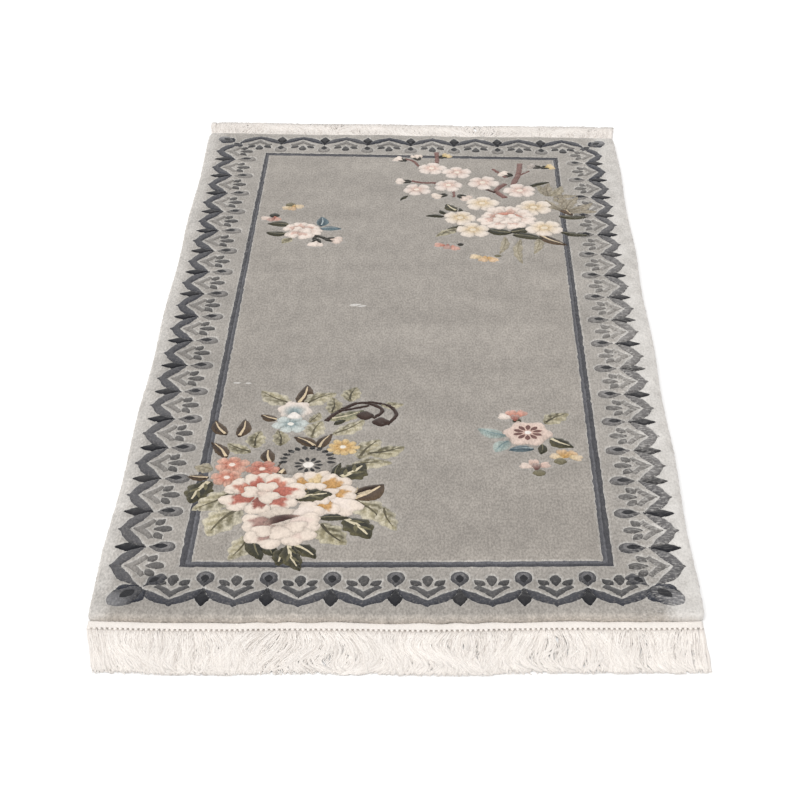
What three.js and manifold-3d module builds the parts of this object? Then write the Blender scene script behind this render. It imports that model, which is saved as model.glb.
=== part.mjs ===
// Silk rug with a carved pile and a knotted fringe at each end, lying flat.
// Millimetres, +Z up, its length along Y with the near end at -Y.
// The origin is the middle of the underside of the pile.
import * as THREE from 'three';
import { mergeVertices } from 'three/addons/utils/BufferGeometryUtils.js';
import Module from 'manifold-3d';

const wasm = await Module();
wasm.setup();
const MERGE_DISTANCE = 1e-4;

// Pile: the knotted body of the rug, foundation and cut pile together
const PILE_WIDTH = 700;
const PILE_LENGTH = 1436;
const PILE_THICKNESS = 12.5;
const PILE_CORNER = 7;
const EDGE_STEPS = { across: 10, along: 20 };
// How far the edges wander from straight, and in how many waves along a side
const EDGE_WANDER = 1.2;
const WANDER_WAVES = { across: 2.5, along: 4.5 };
// The rows slant towards each end: where the slant starts, how far out of square the end is and how it grows
const FAR_SLANT = { end: 1, start: -500, size: -24, power: 2 };
const NEAR_SLANT = { end: -1, start: -350, size: 7, power: 1 };
// Rounded pile rim, from the foundation up: height as a share of the thickness, and inset
const RIM = [
  { height: 0, inset: 1.2 },
  { height: 0.3, inset: 0 },
  { height: 0.72, inset: 0.4 },
  { height: 0.93, inset: 2.2 },
  { height: 1, inset: 5 },
];

// Carving: the design stands this far above the ground pile, and its blocks reach down into the pile
const RELIEF = 1;
const RELIEF_ROOT = 3;

// Frame: the line that parts the border from the field
const FRAME_INSET = 95;
const FRAME_WIDTH = 12.5;
const FRAME_STEPS = 6;

// Border: repeats along each side, drawn as half outlines that are mirrored about their middle
const REPEATS_ACROSS = 8;
const REPEATS_ALONG = 18;
const PITCH_ACROSS = 74;
const PITCH_ALONG = 73.7;
const CHEVRON = [
  { along: 0, depth: 10 },
  { along: 29, depth: 20 },
  { along: 36, depth: 46 },
  { along: 18, depth: 36 },
  { along: 0, depth: 22 },
];
const LOZENGE = [
  { along: 0, depth: 9 },
  { along: 9, depth: 25 },
  { along: 2.5, depth: 46 },
];
const BUD = [
  { along: 0, depth: 51 },
  { along: 9.5, depth: 71 },
  { along: 0, depth: 85 },
];
// Corner bud: from its tip near the corner of the rug, in along the diagonal
const CORNER_BUD = [
  { along: 0, depth: 20 },
  { along: 17, depth: 40 },
  { along: 13, depth: 62 },
  { along: 0, depth: 69 },
];

// Flower heads of the corner sprays and the two small sprays
const FLOWERS = [
  { x: -169, y: -460, radius: 46, petals: 7 },
  { x: -78, y: -468, radius: 40, petals: 6 },
  { x: -142, y: -530, radius: 46, petals: 6 },
  { x: -213, y: -393, radius: 20, petals: 5 },
  { x: -174, y: -403, radius: 19, petals: 5 },
  { x: -217, y: -430, radius: 19, petals: 5 },
  { x: -145, y: -289, radius: 22, petals: 6 },
  { x: -74, y: -348, radius: 19, petals: 8 },
  { x: 165, y: -310, radius: 30, petals: 6 },
  { x: -167, y: 320, radius: 30, petals: 6 },
  { x: 156, y: 369, radius: 40, petals: 7 },
  { x: 120, y: 426, radius: 25, petals: 5 },
  { x: 199, y: 410, radius: 26, petals: 6 },
  { x: 84, y: 369, radius: 25, petals: 5 },
  { x: 102, y: 323, radius: 25, petals: 5 },
  { x: 214, y: 330, radius: 26, petals: 6 },
  { x: 36, y: 567, radius: 21, petals: 5 },
  { x: 78, y: 551, radius: 21, petals: 5 },
  { x: 121, y: 509, radius: 23, petals: 5 },
  { x: 64, y: 498, radius: 21, petals: 5 },
  { x: 11, y: 480, radius: 20, petals: 5 },
  { x: 180, y: 476, radius: 24, petals: 5 },
];
const PETAL_DEPTH = 0.16;
const POINTS_PER_PETAL = 3;

// Fringe: a flat woven strip past each end of the pile, with knotted locks lying on the floor
const PIECE_GAP = 0.3;
const STRIP_WIDTH = 12;
const STRIP_THICKNESS = 3;
const STRIP_PAST_CORNER = 5;
const LOCKS = 118;
const LOCK_ROOT = 2;
// One lock, from its root in the strip to its tip: share of its length, width and height
const LOCK_RINGS = [
  { share: 0, width: 3, height: 2 },
  { share: 0.06, width: 4.6, height: 3.4 },
  { share: 0.45, width: 3.2, height: 2 },
  { share: 1, width: 1.6, height: 1.2 },
];
// The sway of a lock grows with this power of the way along it
const SWAY_POWER = 1.4;
// The first locks lean in from the rug's side, and less so by this power of the way across
const END_LEAN_POWER = 6;
// Lock lengths vary in quick waves, and from each lock to the next by this angle
const UNEVEN_WAVES = 2.7;
const UNEVEN_STEP = 2.4;
// How the two fringes lie: length, how much it varies, sway of the tips and the lean of the first locks
const FRINGES = [
  { name: 'fringe_near', end: -1, length: 86, uneven: 5, sway: 5, waves: 3.4, endLean: 13 },
  { name: 'fringe_far', end: 1, length: 70, uneven: 4, sway: 3, waves: 4.6, endLean: 0 },
];

const HALF_WIDTH = PILE_WIDTH / 2;
const HALF_LENGTH = PILE_LENGTH / 2;

const silkPile = new THREE.MeshStandardMaterial({ color: 0xa5a09a, roughness: 0.75, metalness: 0 });
const fringeYarn = new THREE.MeshStandardMaterial({ color: 0xefe5da, roughness: 0.9, metalness: 0 });

// How far out of square the rows are at a place along the rug
function slant({ end, start, size, power }, y) {
  const share = THREE.MathUtils.clamp((y - start) / (end * HALF_LENGTH - start), 0, 1);
  return size * share ** power;
}

// Puts a point of the square design where it lies on the slanted rug
function lay(x, y) {
  const rise = slant(FAR_SLANT, y) + slant(NEAR_SLANT, y);
  return new THREE.Vector2(x, y + rise * x / PILE_WIDTH);
}

// Outline points of one end of the pile, from -X to +X
function endEdge(end, inset) {
  const points = [];
  const reach = HALF_WIDTH - PILE_CORNER;
  for (let i = 0; i <= EDGE_STEPS.across; i++) {
    const along = i / EDGE_STEPS.across;
    const wander = EDGE_WANDER * Math.sin(2 * Math.PI * WANDER_WAVES.across * along + end);
    points.push(lay(THREE.MathUtils.lerp(-reach, reach, along), end * (HALF_LENGTH - inset + wander)));
  }
  return points;
}

// Outline points of one long side of the pile, from -Y to +Y
function sideEdge(side, inset) {
  const points = [];
  const reach = HALF_LENGTH - PILE_CORNER;
  for (let i = 0; i <= EDGE_STEPS.along; i++) {
    const along = i / EDGE_STEPS.along;
    const wander = EDGE_WANDER * Math.sin(2 * Math.PI * WANDER_WAVES.along * along + side);
    points.push(lay(side * (HALF_WIDTH - inset + wander), THREE.MathUtils.lerp(-reach, reach, along)));
  }
  return points;
}

// The whole outline of the pile, counter-clockwise, with its corners cut off
function pileOutline(inset) {
  const near = endEdge(-1, inset);
  const right = sideEdge(1, inset);
  const far = endEdge(1, inset).reverse();
  const left = sideEdge(-1, inset).reverse();
  return [...near, ...right, ...far, ...left];
}

// Closed skin through rings of equal point counts, with a cap on each end shaped as the flat section
function loft(rings, section) {
  const count = section.length;
  const positions = rings.flat().flatMap((point) => point.toArray());
  const index = [];
  for (let r = 0; r + 1 < rings.length; r++) {
    for (let i = 0; i < count; i++) {
      const next = (i + 1) % count;
      const [a, b] = [r * count + i, r * count + next];
      index.push(a, b, b + count, a, b + count, a + count);
    }
  }
  const top = (rings.length - 1) * count;
  for (const [a, b, c] of THREE.ShapeUtils.triangulateShape(section, [])) {
    index.push(c, b, a, top + a, top + b, top + c);
  }
  const geometry = new THREE.BufferGeometry();
  geometry.setAttribute('position', new THREE.Float32BufferAttribute(positions, 3));
  geometry.setIndex(index);
  return geometry;
}

// Flat plate of an outline, with any holes, from one height to another
function plate(outline, holes, bottom, top) {
  const shape = new THREE.Shape(outline);
  shape.holes = holes.map((points) => new THREE.Path(points));
  const geometry = new THREE.ExtrudeGeometry(shape, { depth: top - bottom, bevelEnabled: false });
  return geometry.translate(0, 0, bottom);
}

// Three.js geometry to a solid that can be joined, and back to a named mesh
function toSolid(geometry) {
  geometry.deleteAttribute('normal');
  geometry.deleteAttribute('uv');
  const merged = mergeVertices(geometry, MERGE_DISTANCE);
  return new wasm.Manifold(new wasm.Mesh({
    numProp: 3,
    vertProperties: new Float32Array(merged.attributes.position.array),
    triVerts: new Uint32Array(merged.index.array),
  }));
}

function toMesh(name, solid, material) {
  const { vertProperties, triVerts } = solid.getMesh();
  const geometry = new THREE.BufferGeometry();
  geometry.setAttribute('position', new THREE.Float32BufferAttribute(vertProperties, 3));
  geometry.setIndex([...triVerts]);
  geometry.computeVertexNormals();
  const mesh = new THREE.Mesh(geometry, material);
  mesh.name = name;
  return mesh;
}

// A raised block of the carved design
function carved(outline, holes = []) {
  return toSolid(plate(outline, holes, PILE_THICKNESS - RELIEF_ROOT, PILE_THICKNESS + RELIEF));
}

function pileSlab() {
  const rings = RIM.map(({ height, inset }) => (
    pileOutline(inset).map(({ x, y }) => new THREE.Vector3(x, y, height * PILE_THICKNESS))
  ));
  return toSolid(loft(rings, pileOutline(0)));
}

// Rectangle of the design at an inset from the pile's edge
function frameLine(inset) {
  const [w, l] = [HALF_WIDTH - inset, HALF_LENGTH - inset];
  const corners = [[-w, -l], [w, -l], [w, l], [-w, l]];
  return corners.flatMap(([x, y], i) => {
    const [nextX, nextY] = corners[(i + 1) % corners.length];
    return Array.from({ length: FRAME_STEPS }, (_, step) => {
      const share = step / FRAME_STEPS;
      return lay(THREE.MathUtils.lerp(x, nextX, share), THREE.MathUtils.lerp(y, nextY, share));
    });
  });
}

// Whole outline from a half one that starts on its middle line
function mirrored(half) {
  const off = half.filter(({ along }) => along > 0);
  return [...half, ...off.reverse().map(({ along, depth }) => ({ along: -along, depth }))];
}

// The four sides of the border: along runs counter-clockwise, depth runs in from the pile's edge
const BORDER_SIDES = [
  { repeats: REPEATS_ACROSS, pitch: PITCH_ACROSS, place: (a, d) => lay(a, d - HALF_LENGTH) },
  { repeats: REPEATS_ALONG, pitch: PITCH_ALONG, place: (a, d) => lay(HALF_WIDTH - d, a) },
  { repeats: REPEATS_ACROSS, pitch: PITCH_ACROSS, place: (a, d) => lay(-a, HALF_LENGTH - d) },
  { repeats: REPEATS_ALONG, pitch: PITCH_ALONG, place: (a, d) => lay(d - HALF_WIDTH, -a) },
];

function borderBlocks() {
  const blocks = [];
  for (const { repeats, pitch, place } of BORDER_SIDES) {
    const stamp = (half, middle) => {
      blocks.push(carved(mirrored(half).map(({ along, depth }) => place(middle + along, depth))));
    };
    for (let i = 0; i < repeats; i++) {
      const middle = (i - (repeats - 1) / 2) * pitch;
      stamp(CHEVRON, middle);
      if (i + 1 < repeats) {
        stamp(LOZENGE, middle + pitch / 2);
        stamp(BUD, middle + pitch / 2);
      }
    }
  }
  return blocks;
}

function cornerBuds() {
  const blocks = [];
  for (const [sideX, sideY] of [[-1, -1], [1, -1], [1, 1], [-1, 1]]) {
    const outline = mirrored(CORNER_BUD).map(({ along, depth }) => lay(
      sideX * (HALF_WIDTH - (depth + along) * Math.SQRT1_2),
      sideY * (HALF_LENGTH - (depth - along) * Math.SQRT1_2),
    ));
    blocks.push(carved(outline));
  }
  return blocks;
}

function flowerHead({ x, y, radius, petals }) {
  const count = petals * POINTS_PER_PETAL;
  const outline = Array.from({ length: count }, (_, i) => {
    const angle = 2 * Math.PI * i / count;
    const reach = radius * (1 - PETAL_DEPTH * (1 - Math.cos(petals * angle)) / 2);
    return new THREE.Vector2(x + reach * Math.cos(angle), y + reach * Math.sin(angle));
  });
  return carved(outline);
}

function rugPile() {
  const frame = carved(frameLine(FRAME_INSET), [frameLine(FRAME_INSET + FRAME_WIDTH)]);
  const blocks = [frame, ...borderBlocks(), ...cornerBuds(), ...FLOWERS.map(flowerHead)];
  return blocks.reduce((whole, block) => whole.add(block), pileSlab());
}

// The edge of the pile that a strip runs along, carried on past the cut corners
function stripEdge(end) {
  const edge = endEdge(end, 0);
  edge[0].x -= STRIP_PAST_CORNER;
  edge.at(-1).x += STRIP_PAST_CORNER;
  return edge;
}

// The woven strip past one end of the pile
function fringeStrip(end) {
  const edge = stripEdge(end);
  const offset = (distance) => edge.map(({ x, y }) => new THREE.Vector2(x, y + end * distance));
  const outline = [...offset(PIECE_GAP), ...offset(PIECE_GAP + STRIP_WIDTH).reverse()];
  return toSolid(plate(outline, [], 0, STRIP_THICKNESS));
}

// One lock of the fringe, three-sided with a side on the floor
function fringeLock(root, end, length, sway) {
  const section = [[-0.5, 0], [0.5, 0], [0, 1]].map(([across, up]) => new THREE.Vector2(across, up));
  const rings = LOCK_RINGS.map(({ share, width, height }) => {
    const x = root.x + sway * share ** SWAY_POWER;
    const y = root.y + end * share * length;
    return section.map((point) => new THREE.Vector3(x - end * point.x * width, y, point.y * height));
  });
  return toSolid(loft(rings, section));
}

// Where an edge polyline lies along Y at a place across the rug
function edgeAt(edge, x) {
  const i = edge.findIndex((point) => point.x >= x);
  const [a, b] = [edge[i - 1], edge[i]];
  return THREE.MathUtils.mapLinear(x, a.x, b.x, a.y, b.y);
}

function fringe({ end, length, uneven, sway, waves, endLean }) {
  const edge = stripEdge(end);
  let whole = fringeStrip(end);
  for (let i = 0; i < LOCKS; i++) {
    const across = (i + 0.5) / LOCKS;
    const x = THREE.MathUtils.lerp(edge[0].x, edge.at(-1).x, across);
    const y = edgeAt(edge, x) + end * (PIECE_GAP + STRIP_WIDTH - LOCK_ROOT);
    const wave = 2 * Math.PI * waves * across;
    const lean = sway * Math.sin(wave) + endLean * (1 - across) ** END_LEAN_POWER;
    const shorter = uneven * (1 + Math.sin(UNEVEN_WAVES * wave + UNEVEN_STEP * i)) / 2;
    whole = whole.add(fringeLock(new THREE.Vector2(x, y), end, length - shorter, lean));
  }
  return whole;
}

const rug = new THREE.Group();
rug.add(toMesh('rug_pile', rugPile(), silkPile));
for (const layout of FRINGES) {
  rug.add(toMesh(layout.name, fringe(layout), fringeYarn));
}

export default rug;
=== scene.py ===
import math
from dataclasses import dataclass
from typing import Callable

import bmesh
import bpy
import numpy as np
from mathutils import Matrix, Vector
from mathutils.geometry import delaunay_2d_cdt
from mathutils.kdtree import KDTree


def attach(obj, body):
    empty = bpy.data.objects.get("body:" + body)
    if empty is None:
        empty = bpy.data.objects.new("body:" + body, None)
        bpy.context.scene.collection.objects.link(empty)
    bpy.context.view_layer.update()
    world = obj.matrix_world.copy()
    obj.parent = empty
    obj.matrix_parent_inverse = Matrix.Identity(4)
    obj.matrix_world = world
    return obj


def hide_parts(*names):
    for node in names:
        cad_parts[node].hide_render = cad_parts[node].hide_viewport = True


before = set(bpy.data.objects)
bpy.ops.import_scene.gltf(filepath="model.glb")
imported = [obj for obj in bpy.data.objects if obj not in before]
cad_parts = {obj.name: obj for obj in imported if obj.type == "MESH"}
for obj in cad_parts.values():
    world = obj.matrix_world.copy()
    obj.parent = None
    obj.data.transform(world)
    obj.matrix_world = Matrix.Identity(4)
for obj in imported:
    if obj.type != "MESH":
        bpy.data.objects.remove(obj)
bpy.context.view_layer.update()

random = np.random.default_rng(20)
MM = 0.001

# Pile, with the sizes of its solid, and how far its edges wander in how many waves
PILE_WIDTH = 700
PILE_LENGTH = 1436
PILE_THICKNESS = 12.5
PILE_CORNER = 7
HALF_WIDTH = PILE_WIDTH / 2
HALF_LENGTH = PILE_LENGTH / 2
EDGE_WANDER = 1.2
WANDER_WAVES = {"across": 2.5, "along": 4.5}
# Small ruffles of the two ends: size, how many, and how unevenly they follow each other
RUFFLE = 1.3
RUFFLE_WAVES = 11.5
RUFFLE_UNEVEN = {"size": 2.2, "waves": 3.3}
# The ends are out of square: the end, where the slant starts, its size across the rug and how fast it grows
FAR_SLANT = {"end": 1, "start": -500, "size": -24, "power": 2}
NEAR_SLANT = {"end": -1, "start": -350, "size": 7, "power": 1}
# The near end also sags in its middle
NEAR_SAG = {"end": -1, "start": -380, "size": 4, "power": 1}
# Rounded rim from the top down: height as a share of the thickness, inset, and way down the wall
RIM = [
    (0.87, 3.4, 2.7), (0.77, 1.5, 5.0), (0.62, 0.4, 7.4), (0.42, 0, 10.2), (0.2, 0.1, 13.2), (0, 1.2, 16.1),
]
# Where the top meets the rim, and the spacing of points round the rug
RIM_INSET = 5
RIM_STEP = 4.5
# The top falls by this much over this width towards the rim
EDGE_FALL = 0.8
EDGE_FALL_WIDTH = 9
# How uneven the tufts of the wall are, how their colour varies, and how fast it turns to the wall's dye,
# which is painted lighter than the ground as sheen on the tufts' sides
TUFT_JITTER = 0.32
WALL_STREAK = 0.05
WALL_FADE = 0.6
# Points of the underside: how far apart and how far in
UNDERSIDE_STEP = 60
UNDERSIDE_INSET = 20
# Bake map: the top with its walls folded out, and the underside beside it
ATLAS_SIZE = 1520
ATLAS_MARGIN = 50

# Spacing of the mesh, in millimetres: along outlines, beside them, in open ground and inside flowers
BORDER_STEP = 3.6
FLOWER_STEP = 2.8
FRAME_STEP = 6
CARVED_SIDE = 1.4
CARVED_FADE = 3.0
GROUND_STEP = 9.6
MOTIF_STEP = 3.9
# Fewest points along a leaf and round a lobed outline, and how much closer they are along a leaf's side
LEAF_POINTS = 6
ROUND_POINTS = 9
LEAF_CROWD = 1.1
# Staggered rows are this share of the step apart, and start and stop this far past the ends
ROW_SHARE = 0.87
ROWS_PAST = {"near": PILE_CORNER, "far": 3 * PILE_CORNER}
# Room that other points leave round outlines, round each other and inside the rim
CLEARANCE = 2.2
FILL_GAP = 2.5
SIDE_GAP = 0.9
RIM_ROOM = 1
# Points beside outlines leave this share of their own distance, and grooves shallower than this have none
SIDE_CLEARANCE = 0.8
SHALLOW_GROOVE = 1
# Triangles fill the points' hull, points this close are one, and triangles this near the rim are left out
WHOLE_HULL = 0
MERGE_DISTANCE = 0.02
SLIVER = 0.2

# Carving: half the width of a groove, its depths, and how far motifs stand proud
GROOVE_HALF = 2.1
GROOVE = {"border": 2.0, "frame": 1.4, "flower": 1.9, "petal": 1.1, "vein": 0.4, "soft": 0}
LIFT = {"ground": 0, "border": 0.4, "flower": 0.8}
# How far hand-knotted outlines wander
RAGGED = {"border": 0.3, "frame": 0.4, "flower": 0.3, "petal": 0.25, "vein": 0.15, "soft": 0.2}
# Unevenness of the cut pile in the ground and in the motifs
PILE_UNEVEN = {"ground": 0.12, "motif": 0.03}
# Light on the ground along a groove, how far out it fades, and shade on the motif's side
CARVED_LIGHT = {"border": 0.72, "frame": 0.45, "flower": 0.2, "petal": 0, "vein": 0, "soft": 0}
CARVED_LIGHT_HALF = 2.6
CARVED_SHADE = {"border": 0.14, "frame": 0.1, "flower": 0.2, "petal": 0.26, "vein": 0, "soft": 0}

# Frame line at each side's two ends, left or near first: inset of its outer edge, share of its full width
FRAME_INSET = {"near": (97.5, 99.5), "far": (88, 95), "left": (94.5, 103.5), "right": (95, 102)}
FRAME_WIDTH = {"near": (0.95, 0.95), "far": (0.9, 0.9), "left": (1.15, 0.55), "right": (1.05, 0.6)}
# How far in each band starts where the line has its full width, and its dye
FRAME_BANDS = [(0, "frame_outer"), (6.4, "frame_gap"), (8.6, "frame_inner"), (12.0, "field")]

# Border repeats: how many on a side and their pitch
BORDER_REPEATS = {"across": (8, 74), "along": (18, 73.7)}
# Along the sides the repeats creep towards the far end by up to this much
SIDE_CREEP = {"near": 0, "right": 17, "far": 0, "left": 21}
CREEP_POWER = 4
# Sides, going round counter-clockwise: way along, way in, half the length, how far out, and which repeats
SIDES = {
    "near": {"along": (1, 0), "into": (0, 1), "half": HALF_WIDTH, "out": HALF_LENGTH, "repeats": "across"},
    "right": {"along": (0, 1), "into": (-1, 0), "half": HALF_LENGTH, "out": HALF_WIDTH, "repeats": "along"},
    "far": {"along": (-1, 0), "into": (0, -1), "half": HALF_WIDTH, "out": HALF_LENGTH, "repeats": "across"},
    "left": {"along": (0, -1), "into": (1, 0), "half": HALF_LENGTH, "out": HALF_WIDTH, "repeats": "along"},
}

# How far in each side's border is moved where the side starts and ends, going round counter-clockwise:
# its outer motifs and its inner ones, whose depths come first
SHIFT_DEPTHS = (9, 83)
BORDER_SHIFT = {
    "near": {"outer": (10.5, 10.5), "inner": (6, 6)},
    "right": {"outer": (2, 17.5), "inner": (4, 4.5)},
    "far": {"outer": (6, 6), "inner": (0, 0)},
    "left": {"outer": (10.5, 3), "inner": (7, 2.5)},
}

# Half outlines of the border motifs: way along the border, depth in from the edge, bow of the next stretch
CHEVRON = [
    (0, 7.5, 0.3), (4, 11.6, 0), (14, 15.5, -1), (28.5, 26.5, -0.5), (37, 47.5, 0.6), (18, 36.5, 0.5),
    (0, 22.5, 0),
]
LOZENGE = [(0, 9, -1), (9.2, 27, 1.4), (1.2, 48, 0)]
BUD = [(0, 50, 0.6), (8.5, 61, -1.2), (10, 75, -2.4), (0, 83, 0)]
BUD_RING = [(0, 56, 0), (6, 65, -1), (6, 74, -1.4), (0, 78, 0)]
BUD_CORE = [(0, 56, -0.6), (5.2, 66, -1), (0, 74, 0)]
VEE_LEAF = [(0, 26, 1.5), (21.5, 48.5, 0), (17, 53.5, -1), (0, 41, 0)]
TREFOIL_MIDDLE = [(0, 51, -0.8), (5.8, 62, -1.2), (5.2, 71, -1.6), (0, 74.5, 0)]
TREFOIL_SIDE = {"base": (7.5, 53), "tip": (20.5, 64.5), "width": 11.5}

# Painted sheen: the nap lies one way, so the silk catches the light and the dyes are painted paler, towards
# the ground's, along each side: the share of it at even steps from where the side starts to where it ends,
# going round counter-clockwise, and how far single motifs differ
BORDER_SHEEN_PALING = {
    "near": {
        "chevron": (0.05, 0.08), "vee_leaf": (0.1,), "trefoil": (0.08,), "bud": (0.03,), "lozenge": (0,),
    },
    "right": {
        "chevron": (0.26, 0.42, 0), "vee_leaf": (0.35, 0.75, 0.6), "trefoil": (0.18, 0.45, 0.3),
        "bud": (0.1, 0.45, 0.6), "lozenge": (0.03, 0.06, 0),
    },
    "far": {
        "chevron": (0.06,), "vee_leaf": (0.5,), "trefoil": (0.06,), "bud": (0.6,), "lozenge": (0,),
    },
    "left": {
        "chevron": (0.02, 0.2), "vee_leaf": (0.7, 0.55), "trefoil": (0.12, 0.2), "bud": (0.6, 0.2),
        "lozenge": (0,),
    },
}
SHEEN_PALING_UNEVEN = 0.05

# Painted sheen of the nap, pale on the outer ground: where it starts across the rug, over what width, and
# its share at the near and far ends
NAP_SHEEN = {
    "right": {"start": 299, "width": 27, "near": 1.0, "far": 0.65},
    "left": {"start": 316, "width": 28, "near": 0.7, "far": 0.55},
}
# It is blotchy: by what share, and two waves with their length, and the length and size of their bends
NAP_SHEEN_BLOTCH = 0.2
SHEEN_BLOTCH_ACROSS = {"length": 7, "bend_length": 31, "bend": 2}
SHEEN_BLOTCH_ALONG = {"length": 13, "bend_length": 19, "bend": 1.5}

# Corner motif: half outlines in from the corner of the rug along the diagonal
CORNER_BODY = [(0, 35, -3), (14.5, 49, -2.5), (12, 68, -2), (1.5, 79, 0), (0, 79, 0)]
CORNER_SEPAL = [(3, 77, 2), (10, 66, 1), (13.5, 52, 0), (18, 60, -3), (12.5, 73, -1.5), (3, 79, 0)]
CORNER_CORE = [(0, 50, -1.5), (6, 61, -1.5), (0, 70, 0)]
CORNER_INNER = [(0, 81, 1), (7.5, 93, -2), (7, 104, -3), (0, 111, 0)]
CORNER_INNER_CORE = [(0, 89, -0.6), (4, 96, -1), (0, 102, 0)]
# Its size in the near and far corners, the depth it grows from, and how far out it is moved there
CORNER_SIZE = {-1: 1.1, 1: 0.75}
CORNER_FOOT = 79
CORNER_OUT = {-1: 0, 1: 18}
CORNER_TIP_FADE = 34

# Leaves: swell of the outline, bend as a share of the length, and lobes
LEAF_SWELL = 0.85
LEAF_BEND = 0.07
LEAF_LOBES = 3.5
LEAF_LOBE_DEPTH = 0.12
# How sharply a leaf's halves meet, its shaded foot and how soon that ends, and its lit rim
LEAF_BLEND = 1.8
LEAF_FOOT = 0.72
LEAF_FOOT_END = 1.6
LEAF_RIM = 0.85
LEAF_RIM_START = 0.55
LEAF_RIM_WIDTH = 0.5
# The rim is measured in this stretch of a leaf, because its ends have no width
LEAF_ENDS = (0.02, 0.98)
# Widths that have a vein and side veins, places along the vein, its taper, and side veins as start and reach
VEINED_WIDTH = 12
SIDE_VEINED_WIDTH = 24
VEIN_STOPS = (0.06, 0.45, 0.85)
VEIN_TAPER = 0.3
SIDE_VEINS = [(0.16, 0.3), (0.36, -0.3), (0.48, 0.26)]
SIDE_VEIN_RUN = 0.28
SIDE_VEIN_WIDTH = 0.15
# Lobed leaves are drawn this much fuller and longer than in their tables, with pale streaks beside the vein
LEAF_FULLNESS = 1.25
LEAF_REACH = 0.1
LEAF_STREAKS = 3.2
STREAK_SLANT = 2.8
STREAK_SHARE = 0.62
# Half outline of a petal in shares of its length and width, with a notch at its end and a wavy edge
PETAL_HALF = [(0, 0.12), (0.3, 0.3), (0.62, 0.48), (0.9, 0.42), (1.0, 0.2)]
PETAL_NOTCH = 0.08
PETAL_WAVES = 5
PETAL_WAVE = 0.04
# Waves start elsewhere in each petal, at this many times its angle
PETAL_TURNS = 5
# Blossoms: petal width as a share of the room each petal has, a slight point in place of the notch, and in
# shares of the radius the petals' feet, the shortest petal, the heart, its fade and the eye
PETAL_FULLNESS = 1.58
BLOSSOM_POINT = 0.04
BLOSSOM = {"foot": 0.1, "shortest": 0.84, "heart": 0.42, "heart_fade": 0.45, "eye": 0.2}
BLOSSOM_LOBES = {"heart": 0.15, "eye": 0.05}
EYE_LOBES = 6
# How fast a petal's body turns to its rim, and the heart to the body
PETAL_FADE = 1.6
HEART_FADE = 1.5
# Loose petals, in shares of the radius, and the share of cream at their tips
LOOSE_WIDTH = 1.6
LOOSE_FADE = 2.2
LOOSE_CREAM = 0.45
# Buds: two petals, how far out, how far apart in radians, their size and lean in degrees, and the calyx
BUD_PETALS = {"out": 0.25, "apart": 1.2, "size": 0.85, "lean": 12}
BUD_CALYX = {"leans": (0.6, -0.5), "reach": 1.1, "foot": 0.3, "width": 0.55}
# Blotch of a peony's petal: how it narrows to the sides, its wavy edge, and where and how fast it fades
FLAME = {"narrowing": 1.3, "wave": 0.1, "waves": 9, "early": 0.07, "fade": 0.16}
# Shade towards the petal's foot, where it ends, and fine streaks
FLAME_FOOT = {"shade": 0.1, "end": 0.7}
FLAME_STREAKS = {"size": 0.025, "waves": 17}
# Peonies: lobes and shade of the back, how far petals and ruffles turn and vary, and the ruffles' shape
PEONY_BACK = {"lobes": 7, "depth": 0.06, "shade": 0.85}
PEONY_TURN = {"petal": 0.15, "ruffle": 0.5}
PEONY_LENGTH = (0.92, 1.12)
PEONY_WIDTH = (0.88, 1.16)
FOLD_FADE = {"reach": 1.2, "power": 2}
PEONY_RUFFLE = {"length": 2, "width": 2.2, "wave": 1.5, "fade": 1.3}
PEONY_RUFFLE_DYES = {"rim": 0.7, "blotch": 0.2}

# Dyes, as they look under the studio light. Some of them are painted light: the carved one is the painted
# highlight along grooves, the nap's is painted sheen of the silk, the wall's is painted lighter than the
# ground as sheen on the tufts' sides, and the brown at the yarn roots is painted shade that also tints
# some yarns tan
DYES = {
    "ground": "A8A29B", "field": "A49D95", "carved": "E2DFDA", "wall": "CDC4BA", "backing": "B9B1A4",
    "nap_sheen": "ECE8E3", "worn": "D6D2CD", "yarn": "FCF7F2", "yarn_shade": "F5EEE7", "root_shade_and_tan": "80674F",
    "frame_outer": "48484D", "frame_gap": "6A6A6F", "frame_inner": "59595E",
    "chevron": "353842", "lozenge": "1B1C22", "vee_leaf": "4E4E50", "trefoil": "3F3F41",
    "bud": "48484C", "bud_ring": "6A696C", "bud_core": "17181E", "corner_tip": "8B8A8C",
    "bark": "3E2C25", "calyx": "3D3B34", "twig": "87645D", "twig_dark": "4E3933", "olive": "7E775F",
    "cream": "F4E5D9", "ivory": "F2E2D3", "shell": "EFDBCF", "blush": "E4CFC2", "plum": "D5B4A6",
    "coral": "CD8570", "brick": "BA6C5C", "rust": "9C594C", "maroon": "4A2E2A", "mauve": "AD8A80",
    "wine": "74504A", "ochre": "C99A5E", "gold": "D3A664", "straw": "DFC598", "yellow": "DCC07F",
    "white": "F7F0E8", "black": "2B2A2B", "smoke": "9A938D", "sky": "8F9E9F",
}

# Leaf kinds: dyes of the two halves, the rim and the vein
LEAF_KINDS = {
    "bark": ("33251D", "584636", "6B5843", "DCC7A6"),
    "olive": ("575139", "988E6F", "E0D7BD", "453F2C"),
    "pale": ("736C53", "AFA586", "E8DFC9", "5C553F"),
    "dark": ("26271C", "3D3B2B", "57523D", "7E775C"),
    "green": ("26251A", "3F3C2B", "6A6449", "D9CDAF"),
    "fern": ("55563F", "7E7E63", "CDC3A4", "DDD1B4"),
    "slate": ("3C4C56", "59707B", "7F9095", "B9C4C5"),
    "ice": ("8E9F9C", "A9B5AF", "C6CCC4", "70868A"),
    "tan": ("978D77", "ABA18B", "BEB4A0", "81775F"),
    "taupe": ("897E6B", "9F9481", "B4AA98", "746A57"),
    "blade": ("CDB794", "D9C8AA", "D9C8AA", "CDB794"),
}
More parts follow.
